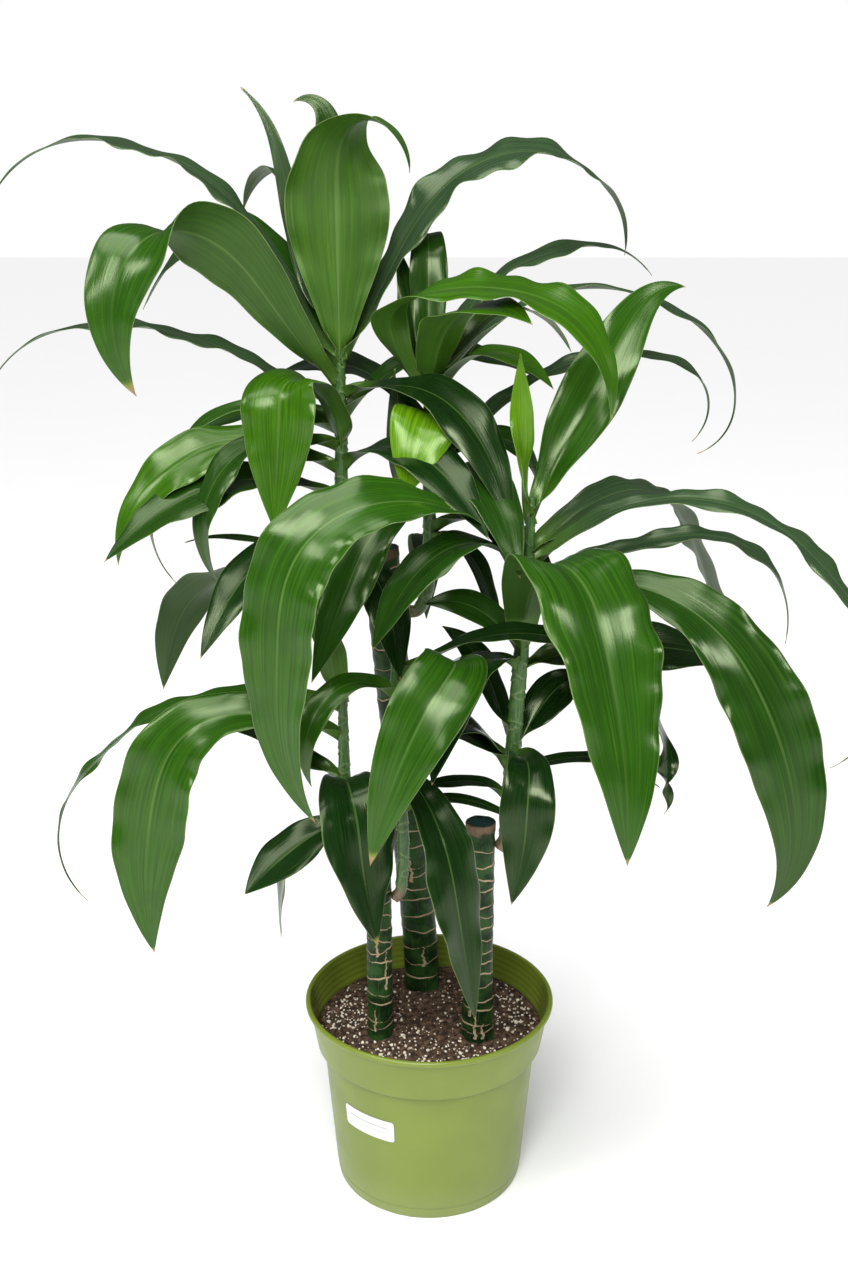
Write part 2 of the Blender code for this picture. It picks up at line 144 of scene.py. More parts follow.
def mesh_piece(name, points, faces, material, uv=None, smooth=True):
    """A mesh object at the origin; `uv` gives one (u, v) for each vertex."""
    mesh = bpy.data.meshes.new(name)
    mesh.from_pydata(points.tolist(), [], faces if isinstance(faces, list) else faces.tolist())
    mesh.polygons.foreach_set("use_smooth", np.full(len(faces), smooth))
    if uv is not None:
        corners = np.empty(len(mesh.loops), dtype=np.int32)
        mesh.loops.foreach_get("vertex_index", corners)
        layer = mesh.uv_layers.new(name="along")
        layer.data.foreach_set("uv", uv[corners].astype(np.float32).ravel())
    mesh.materials.append(material)
    mesh.update()
    piece = bpy.data.objects.new(name, mesh)
    bpy.context.scene.collection.objects.link(piece)
    return piece


def grid_faces(rows, columns, closed=False):
    """Quads of a rows x columns grid of points; `closed` joins its last column to its first."""
    across = columns if closed else columns - 1
    i, j = np.meshgrid(np.arange(rows - 1), np.arange(across), indexing="ij")
    right = (j + 1) % columns
    quads = (i * columns + j, (i + 1) * columns + j, (i + 1) * columns + right, i * columns + right)
    return np.stack(quads, axis=-1).reshape(-1, 4)


def turned_surface(radii, heights, steps):
    """Points (r cos a, r sin a, h): a profile of radii and heights carried round +Z."""
    angle = np.linspace(0, 2 * np.pi, steps, endpoint=False)
    ring = np.stack((np.cos(angle), np.sin(angle)), axis=-1)
    flat = radii[:, None, None] * ring[None]
    up = np.repeat(heights[:, None, None], steps, axis=1)
    return np.concatenate((flat, up), axis=2).reshape(-1, 3)


def resampled(profile, spacing):
    """A profile's straight runs divided into steps of about `spacing`, corners kept."""
    corners = np.asarray(profile, dtype=float)
    parts = []
    for start, end in zip(corners[:-1], corners[1:]):
        count = max(1, int(np.ceil(np.linalg.norm(end - start) / spacing)))
        share = np.arange(count)[:, None] / count
        parts.append(start + share * (end - start))
    parts.append(corners[-1:])
    return np.vstack(parts)


def make_pot():
    """Profile from the middle of the floor, up the ridged inside, over the lip, down the outside."""
    inner = POT_WALL
    lip_wide, lip_high = 0.0029, 0.0030
    turn = np.linspace(np.pi * 0.75, -np.pi * 0.45, 11)
    lip_radii = RIM_RADIUS - lip_wide + lip_wide * np.cos(turn)
    lip_heights = POT_HEIGHT - lip_high + lip_high * np.sin(turn)
    axis_gap = 0.0004
    profile = [
        (axis_gap, FLOOR_THICKNESS),
        (BASE_RADIUS - inner - 0.003, FLOOR_THICKNESS),
        (BASE_RADIUS - inner, FLOOR_THICKNESS + 0.003),
        (BODY_TOP_RADIUS - inner, BAND_BOTTOM),
        (BAND_RADIUS - inner - 0.0075, BAND_BOTTOM + 0.003),
        (BAND_RADIUS - inner, POT_HEIGHT - 0.009),
        *zip(lip_radii, lip_heights),
        (BAND_RADIUS + 0.0002, POT_HEIGHT - 0.0075),
        (BAND_RADIUS - 0.0068, BAND_BOTTOM + 0.0015),
        (BAND_RADIUS - 0.0080, BAND_BOTTOM - 0.0004),
        (BODY_TOP_RADIUS + 0.0010, BAND_BOTTOM - 0.0016),
        (BODY_TOP_RADIUS - 0.0002, BAND_BOTTOM - 0.0040),
        (BASE_RADIUS + 0.0006, 0.0132),
        (BASE_RADIUS - 0.0002, 0.0124),
        (BASE_RADIUS - 0.0002, 0.0116),
        (BASE_RADIUS + 0.0002, 0.0108),
        (BASE_RADIUS - 0.0010, 0.0020),
        (BASE_RADIUS - 0.0018, 0.0006),
        (BASE_RADIUS - 0.0030, 0.0),
        (axis_gap, 0.0),
    ]
    fine = resampled(profile, 0.0012)
    radii, heights = fine[:, 0].copy(), fine[:, 1]
    inside = np.arange(len(fine)) < np.argmax(heights)
    band = inside & (heights > BAND_BOTTOM + 0.006) & (heights < POT_HEIGHT - 0.006)
    ridge_depth, ridge_spacing = 0.0004, 0.0062
    radii[band] -= ridge_depth * np.cos(np.pi * heights[band] / ridge_spacing) ** 4
    steps = 160
    points = turned_surface(radii, heights, steps)
    walls = grid_faces(len(radii), steps, closed=True)
    piece = mesh_piece("moulded_pot", points, walls, pot_material())
    fill_ends(piece.data)
    return piece


def fill_ends(mesh):
    """Close the pin-holes that a turned grid leaves on its axis, faces outwards."""
    solid = bmesh.new()
    solid.from_mesh(mesh)
    rims = [edge for edge in solid.edges if edge.is_boundary]
    bmesh.ops.holes_fill(solid, edges=rims, sides=0)
    bmesh.ops.recalc_face_normals(solid, faces=solid.faces)
    solid.to_mesh(mesh)
    solid.free()


def drill_floor(pot):
    """Eight round drain holes in the floor, on a circle round its middle."""
    holes = 8
    circle_radius, hole_radius = 0.076, 0.0045
    for i in range(holes):
        angle = 2 * math.pi * (i + 0.5) / holes
        bpy.ops.mesh.primitive_cylinder_add(
            vertices=24,
            radius=hole_radius,
            depth=4 * FLOOR_THICKNESS,
            location=(circle_radius * math.cos(angle), circle_radius * math.sin(angle), 0.0),
        )
        drill = bpy.context.object
        hole = pot.modifiers.new("drain_hole", "BOOLEAN")
        hole.operation = "DIFFERENCE"
        hole.solver = "EXACT"
        hole.object = drill
        bpy.context.view_layer.objects.active = pot
        bpy.ops.object.modifier_apply(modifier=hole.name)
        bpy.data.objects.remove(drill, do_unlink=True)


pot = make_pot()
drill_floor(pot)
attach(pot, "root")
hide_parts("pot")


# ---------------------------------------------------------------- the label
# A white paper sticker with rounded corners, wrapped round the left front of the pot's body.
# It has a thin grey border and, in place of print, two plain grey bars.

LABEL_LOW = 0.091
LABEL_HIGH = 0.115
LABEL_MIDDLE = math.radians(270 - 35.6)
LABEL_HALF_TURN = math.radians(16.5)


def wall_radius(height):
    """Outer radius of the pot's plain body at a height between its base and its band."""
    share = (height - 0.0132) / (BAND_BOTTOM - 0.004 - 0.0132)
    return BASE_RADIUS + 0.0006 + share * (BODY_TOP_RADIUS - BASE_RADIUS - 0.0008)


def label_material(half_wide, half_high, corner):
    """White paper; distance from the rounded outline gives the border, two boxes give the bars."""
    made, tree, shader, place = new_material("white_sticker", 0.45)
    across = node(tree, "ShaderNodeUVMap", {"uv_map": "along"}).outputs[0]
    split = node(tree, "ShaderNodeSeparateXYZ", None, {0: across})
    x = calc(tree, "ABSOLUTE", split.outputs[0])
    y = calc(tree, "ABSOLUTE", split.outputs[1])
    out_x = calc(tree, "MAXIMUM", calc(tree, "SUBTRACT", x, half_wide - corner), 0.0)
    out_y = calc(tree, "MAXIMUM", calc(tree, "SUBTRACT", y, half_high - corner), 0.0)
    squares = calc(tree, "ADD", calc(tree, "POWER", out_x, 2.0), calc(tree, "POWER", out_y, 2.0))
    edge = calc(tree, "SQRT", squares)
    border = between(tree, edge, corner - 0.0010, corner - 0.0006)
    long_side = calc(tree, "LESS_THAN", x, half_wide - 0.0065)
    high_bar = calc(tree, "COMPARE", split.outputs[1], 0.0030, 0.0011)
    low_bar = calc(tree, "COMPARE", split.outputs[1], -0.0025, 0.0007)
    bars = times(tree, calc(tree, "ADD", high_bar, low_bar), long_side)
    ink = calc(tree, "MAXIMUM", border, bars)
    fibres = noise(tree, place, 700.0, 3.0)
    paper = blended(tree, fibres, (0.80, 0.80, 0.78), (0.88, 0.88, 0.86))
    colour = blended(tree, times(tree, ink, 0.75), paper, (0.30, 0.31, 0.31))
    tree.links.new(colour, shader.inputs["Base Color"])
    bumped(tree, shader, fibres, 0.00004, 0.4)
    return made


def make_label():
    """Grid (u, v) in -1..1 squeezed to a rounded rectangle and rolled round the wall."""
    columns, rows = 61, 25
    corner = 0.0035
    half_high = (LABEL_HIGH - LABEL_LOW) / 2
    middle = (LABEL_LOW + LABEL_HIGH) / 2
    half_wide = LABEL_HALF_TURN * wall_radius(middle)
    v = np.sin(np.linspace(-1, 1, rows) * np.pi / 2) * half_high
    over = np.clip(np.abs(v) - (half_high - corner), 0, corner)
    reach = half_wide - corner + np.sqrt(corner**2 - over**2 + 1e-12)
    u = np.linspace(-1, 1, columns)[None] * reach[:, None]
    heights = np.repeat(middle + v[:, None], columns, axis=1)
    skins = []
    for stand_off in (0.00025, 0.00055):
        radius = wall_radius(heights) + stand_off
        angle = LABEL_MIDDLE + u / wall_radius(middle)
        skins.append(np.stack((radius * np.cos(angle), radius * np.sin(angle), heights), axis=-1))
    points = np.vstack((skins[1].reshape(-1, 3), skins[0].reshape(-1, 3)))
    faces = closed_sheet_faces(rows, columns)[:, ::-1]
    one = np.stack((u, np.repeat(v[:, None], columns, axis=1)), axis=-1).reshape(-1, 2)
    paper = label_material(half_wide, half_high, corner)
    return mesh_piece("pot_sticker", points, faces, paper, uv=np.vstack((one, one)))


def closed_sheet_faces(rows, columns):
    """Faces of a thin closed sheet: an upper grid, the same grid below it, and four edge strips."""
    upper = grid_faces(rows, columns)
    count = rows * columns
    lower = upper[:, ::-1] + count
    first = np.arange(rows - 1) * columns
    last = first + columns - 1
    bottom = np.arange(columns - 1)
    top = bottom + (rows - 1) * columns
    strips = (
        np.stack((first, first + count, first + columns + count, first + columns), axis=-1),
        np.stack((last + columns, last + columns + count, last + count, last), axis=-1),
        np.stack((bottom + 1, bottom + 1 + count, bottom + count, bottom), axis=-1),
        np.stack((top, top + count, top + 1 + count, top + 1), axis=-1),
    )
    return np.vstack((upper, lower, *strips))


sticker = make_label()
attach(sticker, "root")
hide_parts("label")


# ---------------------------------------------------------------- the potting mix
# Dark peaty mix filling the pot to a little below its rim, uneven on top, with many small white
# grains of perlite and bits of brown bark lying on it, thickest at the left, front and far right.

SOIL_LEVEL = 0.165
SOIL_CROWN = 0.005
SOIL_RADIUS = 0.1146
CANE_FEET = ((-0.0500, -0.0270, 0.0128), (-0.0075, 0.0700, 0.0185), (0.0490, -0.0270, 0.0170))


def lumpy(x, y, size, seed, waves=24):
    """Smooth random height of about -1 to 1: a sum of plane waves of lengths near `size`."""
    rng = np.random.default_rng(seed)
    turn = rng.uniform(0, 2 * np.pi, waves)
    pace = 2 * np.pi / (size * rng.uniform(0.6, 1.8, waves))
    shift = rng.uniform(0, 2 * np.pi, waves)
    phase = np.multiply.outer(x, pace * np.cos(turn)) + np.multiply.outer(y, pace * np.sin(turn))
    return np.sin(phase + shift).sum(axis=-1) / np.sqrt(waves)


def soil_height(x, y):
    """Crowned top of the mix with crumbs of three sizes, sunk a little at the wall."""
    share = np.clip(np.hypot(x, y) / SOIL_RADIUS, 0, 1)
    crumbs = 0.0011 * lumpy(x, y, 0.024, 3) + 0.0007 * lumpy(x, y, 0.009, 4)
    fine = 0.0005 * lumpy(x, y, 0.0035, 5, 40)
    loose = np.clip((1 - share) * 12, 0.15, 1)
    return SOIL_LEVEL + SOIL_CROWN * (1 - share**2) + (crumbs + fine) * loose


def soil_material():
    """Near-black brown peat, mottled, with tiny pale specks, very rough."""
    made, tree, shader, place = new_material("peat_mix", 0.95, 0.2)
    clods = noise(tree, place, 160.0, 5.0, 0.65)
    pale = between(tree, clods, 0.38, 0.66)
    colour = blended(tree, pale, (0.026, 0.016, 0.011), (0.120, 0.075, 0.046))
    specks = node(tree, "ShaderNodeTexVoronoi", None, {"Vector": place, "Scale": 420.0}).outputs[0]
    near = between(tree, specks, 0.22, 0.12)
    speck_here = times(tree, near, between(tree, clods, 0.50, 0.60))
    colour = blended(tree, speck_here, colour, (0.33, 0.28, 0.21))
    tree.links.new(colour, shader.inputs["Base Color"])
    bumped(tree, shader, clods, 0.0012, 0.9)
    return made


def make_soil():
    """Polar grid for the top; its rim runs down the wall and across the floor to close the body."""
    steps = 220
    axis_gap = 0.0006
    bottom = FLOOR_THICKNESS + 0.0005
    top = np.linspace(axis_gap, SOIL_RADIUS, 130)
    down = np.array([
        [SOIL_RADIUS - 0.0060, BAND_BOTTOM + 0.0040],
        [SOIL_RADIUS - 0.0080, BAND_BOTTOM - 0.0020],
        [BASE_RADIUS - 0.0025, bottom + 0.0040],
        [BASE_RADIUS - 0.0065, bottom],
        [axis_gap, bottom],
    ])
    radii = np.concatenate((top, down[:, 0]))
    heights = np.concatenate((np.zeros(len(top)), down[:, 1]))
    points = turned_surface(radii, heights, steps)
    crumbly = slice(0, len(top) * steps)
    points[crumbly, 2] = soil_height(points[crumbly, 0], points[crumbly, 1])
    faces = grid_faces(len(radii), steps, closed=True)
    piece = mesh_piece("potting_mix_body", points, faces, soil_material())
    fill_ends(piece.data)
    return piece


def grain_mesh(centres, sizes, flatness, rng, rough):
    """Many lumps: a ball of four rings and two poles, each copy roughened, squashed, turned, moved."""
    rings, around = 4, 8
    tilt = np.linspace(0, np.pi, rings + 2)[1:-1]
    belt = turned_surface(np.sin(tilt), np.cos(tilt), around)
    ball = np.vstack((belt, [[0, 0, 1], [0, 0, -1]]))
    count = len(centres)
    rough_ball = ball[None] * rng.uniform(1 - rough, 1 + rough, (count, len(ball), 1))
    breadth = rng.uniform(0.6, 0.95, count)
    thickness = rng.uniform(*flatness, count)
    stretch = sizes[:, None] / 2 * np.stack((np.ones(count), breadth, thickness), axis=-1)
    x, y, z = np.moveaxis(rough_ball * stretch[:, None], 2, 0)
    yaw = rng.uniform(0, 2 * np.pi, (count, 1))
    lean = rng.normal(0, 0.35, (count, 1))
    x, z = x * np.cos(lean) - z * np.sin(lean), x * np.sin(lean) + z * np.cos(lean)
    x, y = x * np.cos(yaw) - y * np.sin(yaw), x * np.sin(yaw) + y * np.cos(yaw)
    points = np.stack((x, y, z), axis=-1) + centres[:, None]
    quads = grid_faces(rings, around, closed=True)
    here = np.arange(around)
    following = (here + 1) % around
    north_pole = np.full(around, rings * around)
    last = (rings - 1) * around
    north = np.stack((north_pole, here, following), axis=-1)
    south = np.stack((north_pole + 1, last + following, last + here), axis=-1)
    offset = (np.arange(count) * len(ball))[:, None, None]
    tris = np.vstack((north, south)) + offset
    return points.reshape(-1, 3), (quads + offset).reshape(-1, 4), tris.reshape(-1, 3)


def scattered(count, rng, patches):
    """Places on the soil, drawn evenly or round patches, clear of the canes and the wall."""
    radius = (SOIL_RADIUS - 0.004) * np.sqrt(rng.uniform(0, 1, 4 * count))
    angle = rng.uniform(0, 2 * np.pi, 4 * count)
    spots = np.stack((radius * np.cos(angle), radius * np.sin(angle)), axis=-1)
    pull = np.full(len(spots), 0.16)
    for x, y, spread in patches:
        pull += np.exp(-((spots[:, 0] - x) ** 2 + (spots[:, 1] - y) ** 2) / spread**2)
    keep = rng.uniform(0, 1, len(spots)) < pull
    for x, y, radius_here in CANE_FEET:
        keep &= np.hypot(spots[:, 0] - x, spots[:, 1] - y) > radius_here + 0.003
    return spots[keep][:count]


def tinted(piece, values, name="tint"):
    """Store one number per vertex for a material to read."""
    layer = piece.data.attributes.new(name, "FLOAT", "POINT")
    layer.data.foreach_set("value", np.asarray(values, dtype=np.float32))


def make_grains(name, count, seed, size_range, flatness, rough, patches, material):
    """Lumps lying half sunk in the soil, many small and a few large, each with its own tint."""
    rng = np.random.default_rng(seed)
    spots = scattered(count, rng, patches)
    sizes = size_range[0] + (size_range[1] - size_range[0]) * rng.beta(1.3, 5.0, len(spots))
    heights = soil_height(spots[:, 0], spots[:, 1]) + 0.22 * sizes * flatness[1]
    centres = np.column_stack((spots, heights))
    points, quads, tris = grain_mesh(centres, sizes, flatness, rng, rough)
    piece = mesh_piece(name, points, quads.tolist() + tris.tolist(), material)
    tinted(piece, np.repeat(rng.uniform(0, 1, len(spots)), len(points) // len(spots)))
    return piece


def crumb_material(name, dark, pale, roughness):
    """A crumb's colour by its tint, mottled, with a fine rough surface."""
    made, tree, shader, place = new_material(name, roughness, 0.3)
    tint = stored(tree, "tint")
    mottle = noise(tree, place, 700.0, 3.0)
    share = calc(tree, "ADD", times(tree, tint, 0.6), times(tree, mottle, 0.4), clamp=True)
    colour = blended(tree, share, dark, pale)
    tree.links.new(colour, shader.inputs["Base Color"])
    bumped(tree, shader, mottle, 0.0004, 0.7)
    return made


soil = make_soil()
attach(soil, "root")
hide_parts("soil")
perlite = make_grains(
    "perlite_grains", 900, 11, (0.0012, 0.0062), (0.55, 0.85), 0.22,
    ((-0.085, 0.010, 0.045), (-0.020, -0.085, 0.050), (0.085, 0.030, 0.045), (0.045, -0.080, 0.03)),
    crumb_material("perlite_cream", (0.50, 0.42, 0.31), (0.88, 0.82, 0.70), 0.85),
)
bark_bits = make_grains(
    "bark_bits", 380, 12, (0.0022, 0.0105), (0.18, 0.40), 0.25,
    ((-0.060, 0.050, 0.060), (0.060, -0.070, 0.060), (0.010, 0.080, 0.050)),
    crumb_material("bark_crumb", (0.030, 0.016, 0.010), (0.150, 0.085, 0.050), 0.9),
)
for crumbs in (perlite, bark_bits):
    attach(crumbs, "root")


# ---------------------------------------------------------------- the canes
# Three sawn lengths of trunk, each a different height.  The bark is almost black-green and
# ringed with wavy tan scars where leaves fell; the cut tops are sealed with dark wax.

CANES = {
    # path: (x, y, z, radius) from under the soil up; rings: heights of the leaf scars;
    # cracks: compass angle, lowest and highest height
    "front_left": {
        "path": [
            (-0.0500, -0.027, 0.150, 0.0128), (-0.0500, -0.027, 0.165, 0.0128),
            (-0.0500, -0.027, 0.300, 0.0124), (-0.0505, -0.027, 0.408, 0.0122)],
        "rings": (0.181, 0.192, 0.209, 0.219, 0.236, 0.254, 0.268, 0.278,
                  0.291, 0.306, 0.318, 0.331, 0.348, 0.366, 0.385),
        "cracks": ((262, 0.262, 0.300), (303, 0.225, 0.272), (250, 0.178, 0.205)),
    },
    "back": {
        "path": [
            (-0.0075, 0.070, 0.150, 0.0186), (-0.0075, 0.070, 0.165, 0.0185),
            (-0.0240, 0.066, 0.380, 0.0175), (-0.0440, 0.060, 0.602, 0.0174),
            (-0.0475, 0.059, 0.655, 0.0170)],
        "rings": (0.186, 0.206, 0.222, 0.241, 0.258, 0.276, 0.292, 0.304, 0.318, 0.336, 0.357,
                  0.380, 0.405, 0.431, 0.456, 0.481, 0.505, 0.532, 0.559, 0.586, 0.612, 0.636),
        "cracks": ((265, 0.30, 0.33), (280, 0.20, 0.225)),
    },
    "right": {
        "path": [
            (0.0490, -0.027, 0.150, 0.0176), (0.0490, -0.027, 0.165, 0.0170),
            (0.0490, -0.027, 0.215, 0.0148), (0.0492, -0.027, 0.330, 0.0142),
            (0.0495, -0.027, 0.402, 0.0142)],
        "rings": (0.178, 0.188, 0.203, 0.214, 0.228, 0.241, 0.254, 0.267,
                  0.281, 0.295, 0.306, 0.319, 0.333, 0.345, 0.360, 0.376),
        "cracks": ((258, 0.172, 0.200), (285, 0.172, 0.193), (238, 0.196, 0.222)),
    },
}


def hermite(t, start, start_slope, end, end_slope):
    """Smooth curve from one value and slope at t = 0 to another value and slope at t = 1."""
    return (
        (2 * t**3 - 3 * t**2 + 1) * start
        + (t**3 - 2 * t**2 + t) * start_slope
        + (3 * t**2 - 2 * t**3) * end
        + (t**3 - t**2) * end_slope
    )


def eased(values, places):
    """Evenly spaced key values read at places 0..1 along a smooth curve."""
    keys = np.asarray(values, dtype=float)
    if len(keys) == 1:
        return np.full_like(places, keys[0])
    last = len(keys) - 1
    slopes = np.gradient(keys)
    span = np.clip((places * last).astype(int), 0, last - 1)
    t = places * last - span
    return hermite(t, keys[span], slopes[span], keys[span + 1], slopes[span + 1])


def smooth_path(points, spacing):
    """Read (x, y, z, radius) key points along a smooth curve, one every `spacing` metres."""
    keys = np.asarray(points, dtype=float)
    gaps = np.linalg.norm(np.diff(keys[:, :3], axis=0), axis=1)
    along = np.concatenate(([0.0], gaps.cumsum()))
    places = np.linspace(0.0, along[-1], int(round(along[-1] / spacing)) + 1)
    slopes = np.gradient(keys, along, axis=0)
    span = np.clip(np.searchsorted(along, places, side="right") - 1, 0, len(keys) - 2)
    step = (along[span + 1] - along[span])[:, None]
    t = (places - along[span])[:, None] / step
    return hermite(t, keys[span], slopes[span] * step, keys[span + 1], slopes[span + 1] * step)


def tube_surface(path, radii, steps):
    """Circles square to a path: centre + radius (side cos a + other sin a), radius per point."""
    tangent = np.gradient(path[:, :3], axis=0)
    tangent /= np.linalg.norm(tangent, axis=1)[:, None]
    side = np.cross(tangent, (0.0, 1.0, 0.0))
    side = np.where(np.linalg.norm(side, axis=1)[:, None] > 0.2, side, (0.0, 0.0, 1.0))
    side = side / np.linalg.norm(side, axis=1)[:, None]
    side = np.where(side[:, :1] > 0, side, -side)
    other = np.cross(tangent, side)
    angle = np.linspace(0, 2 * np.pi, steps, endpoint=False)[None, :, None]
    spoke = side[:, None] * np.cos(angle) + other[:, None] * np.sin(angle)
    return path[:, None, :3] + radii[..., None] * spoke


def scar_depth(heights, angle, rings, seed):
    """A thin wavy line of nearly 1 at each leaf scar, and a wider swelling just below each."""
    rng = np.random.default_rng(seed)
    scar = np.zeros(np.broadcast(heights, angle).shape)
    swell = np.zeros_like(scar)
    for ring in rings:
        turn, tilt, wiggle = rng.uniform(0, 2 * np.pi, 3)
        wave = 0.0022 * np.sin(angle + turn) + 0.0009 * np.sin(2 * angle + tilt)
        wave = wave + 0.0004 * np.sin(7 * angle + wiggle)
        away = heights - ring - wave * rng.uniform(0.6, 1.5)
        thin = 0.0006 + 0.0003 * np.sin(angle + wiggle)
        strength = rng.uniform(0.65, 1.0) * (0.75 + 0.25 * np.sin(2 * angle + turn))
        scar = np.maximum(scar, strength * np.exp(-((away / thin) ** 2)))
        swell += np.exp(-(((away + 0.0020) / 0.0026) ** 2))
    return scar, swell


def crack_depth(heights, angle, cracks):
    """1 inside a crack: a narrow upright triangle at a compass angle between two heights."""
    depth = np.zeros(np.broadcast(heights, angle).shape)
    for compass, low, high in cracks:
        share = np.clip((high - heights) / (high - low), 0, 1)
        wide = 0.004 + 0.085 * share * (heights > low)
        wander = 0.05 * np.sin(heights * 420) + 0.03 * np.sin(heights * 1130)
        off = np.abs((angle - math.radians(compass) + np.pi + wander) % (2 * np.pi) - np.pi)
        inside = (heights > low) & (heights < high)
        depth = np.maximum(depth, inside * np.clip(1.4 - off / wide, 0, 1))
    return depth


def bark_material():
    """Dark green streaked bark: tan where scarred, brown cork round the cut top, dark wax on it."""
    made, tree, shader, place = new_material("cane_bark", 0.5, 0.15)
    stretched = node(tree, "ShaderNodeMapping", None, {0: place, 3: (1.0, 1.0, 0.10)}).outputs[0]
    streaks = noise(tree, stretched, 700.0, 3.0, 0.6)
    clouds = noise(tree, place, 55.0, 3.0)
    cloudy = between(tree, clouds, 0.38, 0.64)
    green = blended(tree, cloudy, (0.006, 0.020, 0.005), (0.022, 0.068, 0.012))
    green = blended(tree, between(tree, streaks, 0.52, 0.72), green, (0.034, 0.070, 0.020))
    scar = stored(tree, "scar")
    cork = stored(tree, "cork")
    wax = stored(tree, "wax")
    tan = blended(tree, streaks, (0.26, 0.17, 0.10), (0.56, 0.42, 0.28))
    colour = blended(tree, between(tree, scar, 0.12, 0.42), green, tan)
    corky = blended(tree, streaks, (0.055, 0.035, 0.022), (0.21, 0.14, 0.09))
    corked = times(tree, cork, between(tree, clouds, 0.30, 0.50))
    colour = blended(tree, corked, colour, corky)
    waxy = blended(tree, clouds, (0.006, 0.022, 0.022), (0.020, 0.060, 0.055))
    colour = blended(tree, wax, colour, waxy)
    tree.links.new(colour, shader.inputs["Base Color"])
    rough = calc(tree, "MULTIPLY_ADD", calc(tree, "MAXIMUM", scar, cork), 0.35, 0.42)
    tree.links.new(rough, shader.inputs["Roughness"])
    bumped(tree, shader, streaks, 0.0005, 0.6)
    return made


def make_cane(name, cane, seed, material):
    """A tube whose radius dips at each scar and crack; its top is closed by shrinking circles."""
    path = smooth_path(cane["path"], 0.0007)
    steps = 96
    angle = np.linspace(0, 2 * np.pi, steps, endpoint=False)[None]
    heights = path[:, 2:3]
    scar, swell = scar_depth(heights, angle, cane["rings"], seed)
    crack = crack_depth(heights, angle, cane["cracks"])
    knobs = 0.00035 * lumpy(angle * 0.013 + 0 * heights, heights + 0 * angle, 0.02, seed + 5)
    top = path[-1, 2]
    cork_edge = top - 0.010 - 0.0015 * np.sin(3 * angle)
    cork = np.clip((heights - cork_edge) / 0.002, 0, 1)
    radii = path[:, 3:4] + 0.0004 * swell - 0.0006 * scar - 0.0012 * crack + knobs + 0.0005 * cork
    shrink = np.array([0.985, 0.95, 0.93, 0.80, 0.60, 0.40, 0.20, 0.03])
    rise = np.array([0.0006, 0.0010, 0.0004, 0.0001, 0.0004, 0.0002, 0.0003, 0.0003])
    side = tube_surface(path, radii, steps)
    middle = side[-1].mean(axis=0)
    cap = middle + (side[-1] - middle)[None] * shrink[:, None, None]
    cap[..., 2] += rise[:, None] + 0.0004 * lumpy(cap[..., 0], cap[..., 1], 0.010, seed + 9)
    points = np.concatenate((side, cap)).reshape(-1, 3)
    rows = len(path) + len(shrink)
    faces = grid_faces(rows, steps, closed=True)[:, ::-1]
    piece = mesh_piece(f"trunk_{name}", points, faces, material)
    wax_edge = 0.94
    blank = np.zeros((len(shrink), steps))
    wax = blank + (shrink < wax_edge)[:, None]
    rim = blank + (shrink >= wax_edge)[:, None]
    tinted(piece, np.concatenate((np.maximum(scar, crack), blank)).ravel(), "scar")
    tinted(piece, np.concatenate((cork, rim)).ravel(), "cork")
    tinted(piece, np.concatenate((0 * scar, wax)).ravel(), "wax")
    fill_ends(piece.data)
    return piece


bark = bark_material()
for seed, (name, cane) in enumerate(CANES.items()):
    trunk = make_cane(name, cane, 20 + seed, bark)
    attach(trunk, "root")
    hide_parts(f"cane_{name}")


# ---------------------------------------------------------------- the shoots
# Green stems that broke out of the sides of the canes.  Each is wrapped in the clasping feet of
# its leaves, which overlap like tiles, and is swollen and brown where it leaves the cane.

SHOOTS = {
    # (x, y, z, radius) from beside the cane outwards and up
    "left_top": [
        (-0.0655, 0.058, 0.605, 0.0045),
        (-0.0745, 0.0555, 0.607, 0.005),
        (-0.082, 0.051, 0.625, 0.0052),
        (-0.084, 0.05, 0.66, 0.0052),
        (-0.084, 0.05, 0.78, 0.0048),
        (-0.084, 0.05, 0.87, 0.003),
    ],
    "middle_top": [
        (-0.0235, 0.0595, 0.59, 0.0045),
        (-0.013, 0.056, 0.592, 0.005),
        (-0.0035, 0.0515, 0.61, 0.0052),
        (-0.001, 0.05, 0.645, 0.0052),
        (-0.001, 0.05, 0.76, 0.0048),
        (-0.001, 0.05, 0.84, 0.003),
    ],
    "right": [
        (0.069, -0.027, 0.374, 0.0055),
        (0.0735, -0.0265, 0.381, 0.0062),
        (0.0765, -0.025, 0.4, 0.0066),
        (0.0785, -0.0235, 0.44, 0.0066),
        (0.082, -0.02, 0.505, 0.0062),
        (0.089, -0.02, 0.62, 0.0055),
        (0.093, -0.02, 0.72, 0.003),
    ],
    "left_low": [
        (-0.0662, -0.0275, 0.386, 0.0045),
        (-0.074, -0.029, 0.391, 0.005),
        (-0.0805, -0.03, 0.41, 0.005),
        (-0.0815, -0.03, 0.45, 0.0048),
        (-0.082, -0.03, 0.56, 0.0028),
    ],
    "front_low": [
        (-0.0338, -0.0285, 0.322, 0.004),
        (-0.0295, -0.03, 0.328, 0.0045),
        (-0.027, -0.031, 0.345, 0.0046),
        (-0.027, -0.031, 0.42, 0.0046),
        (-0.032, -0.03, 0.48, 0.0044),
        (-0.033, -0.03, 0.565, 0.0028),
    ],
}


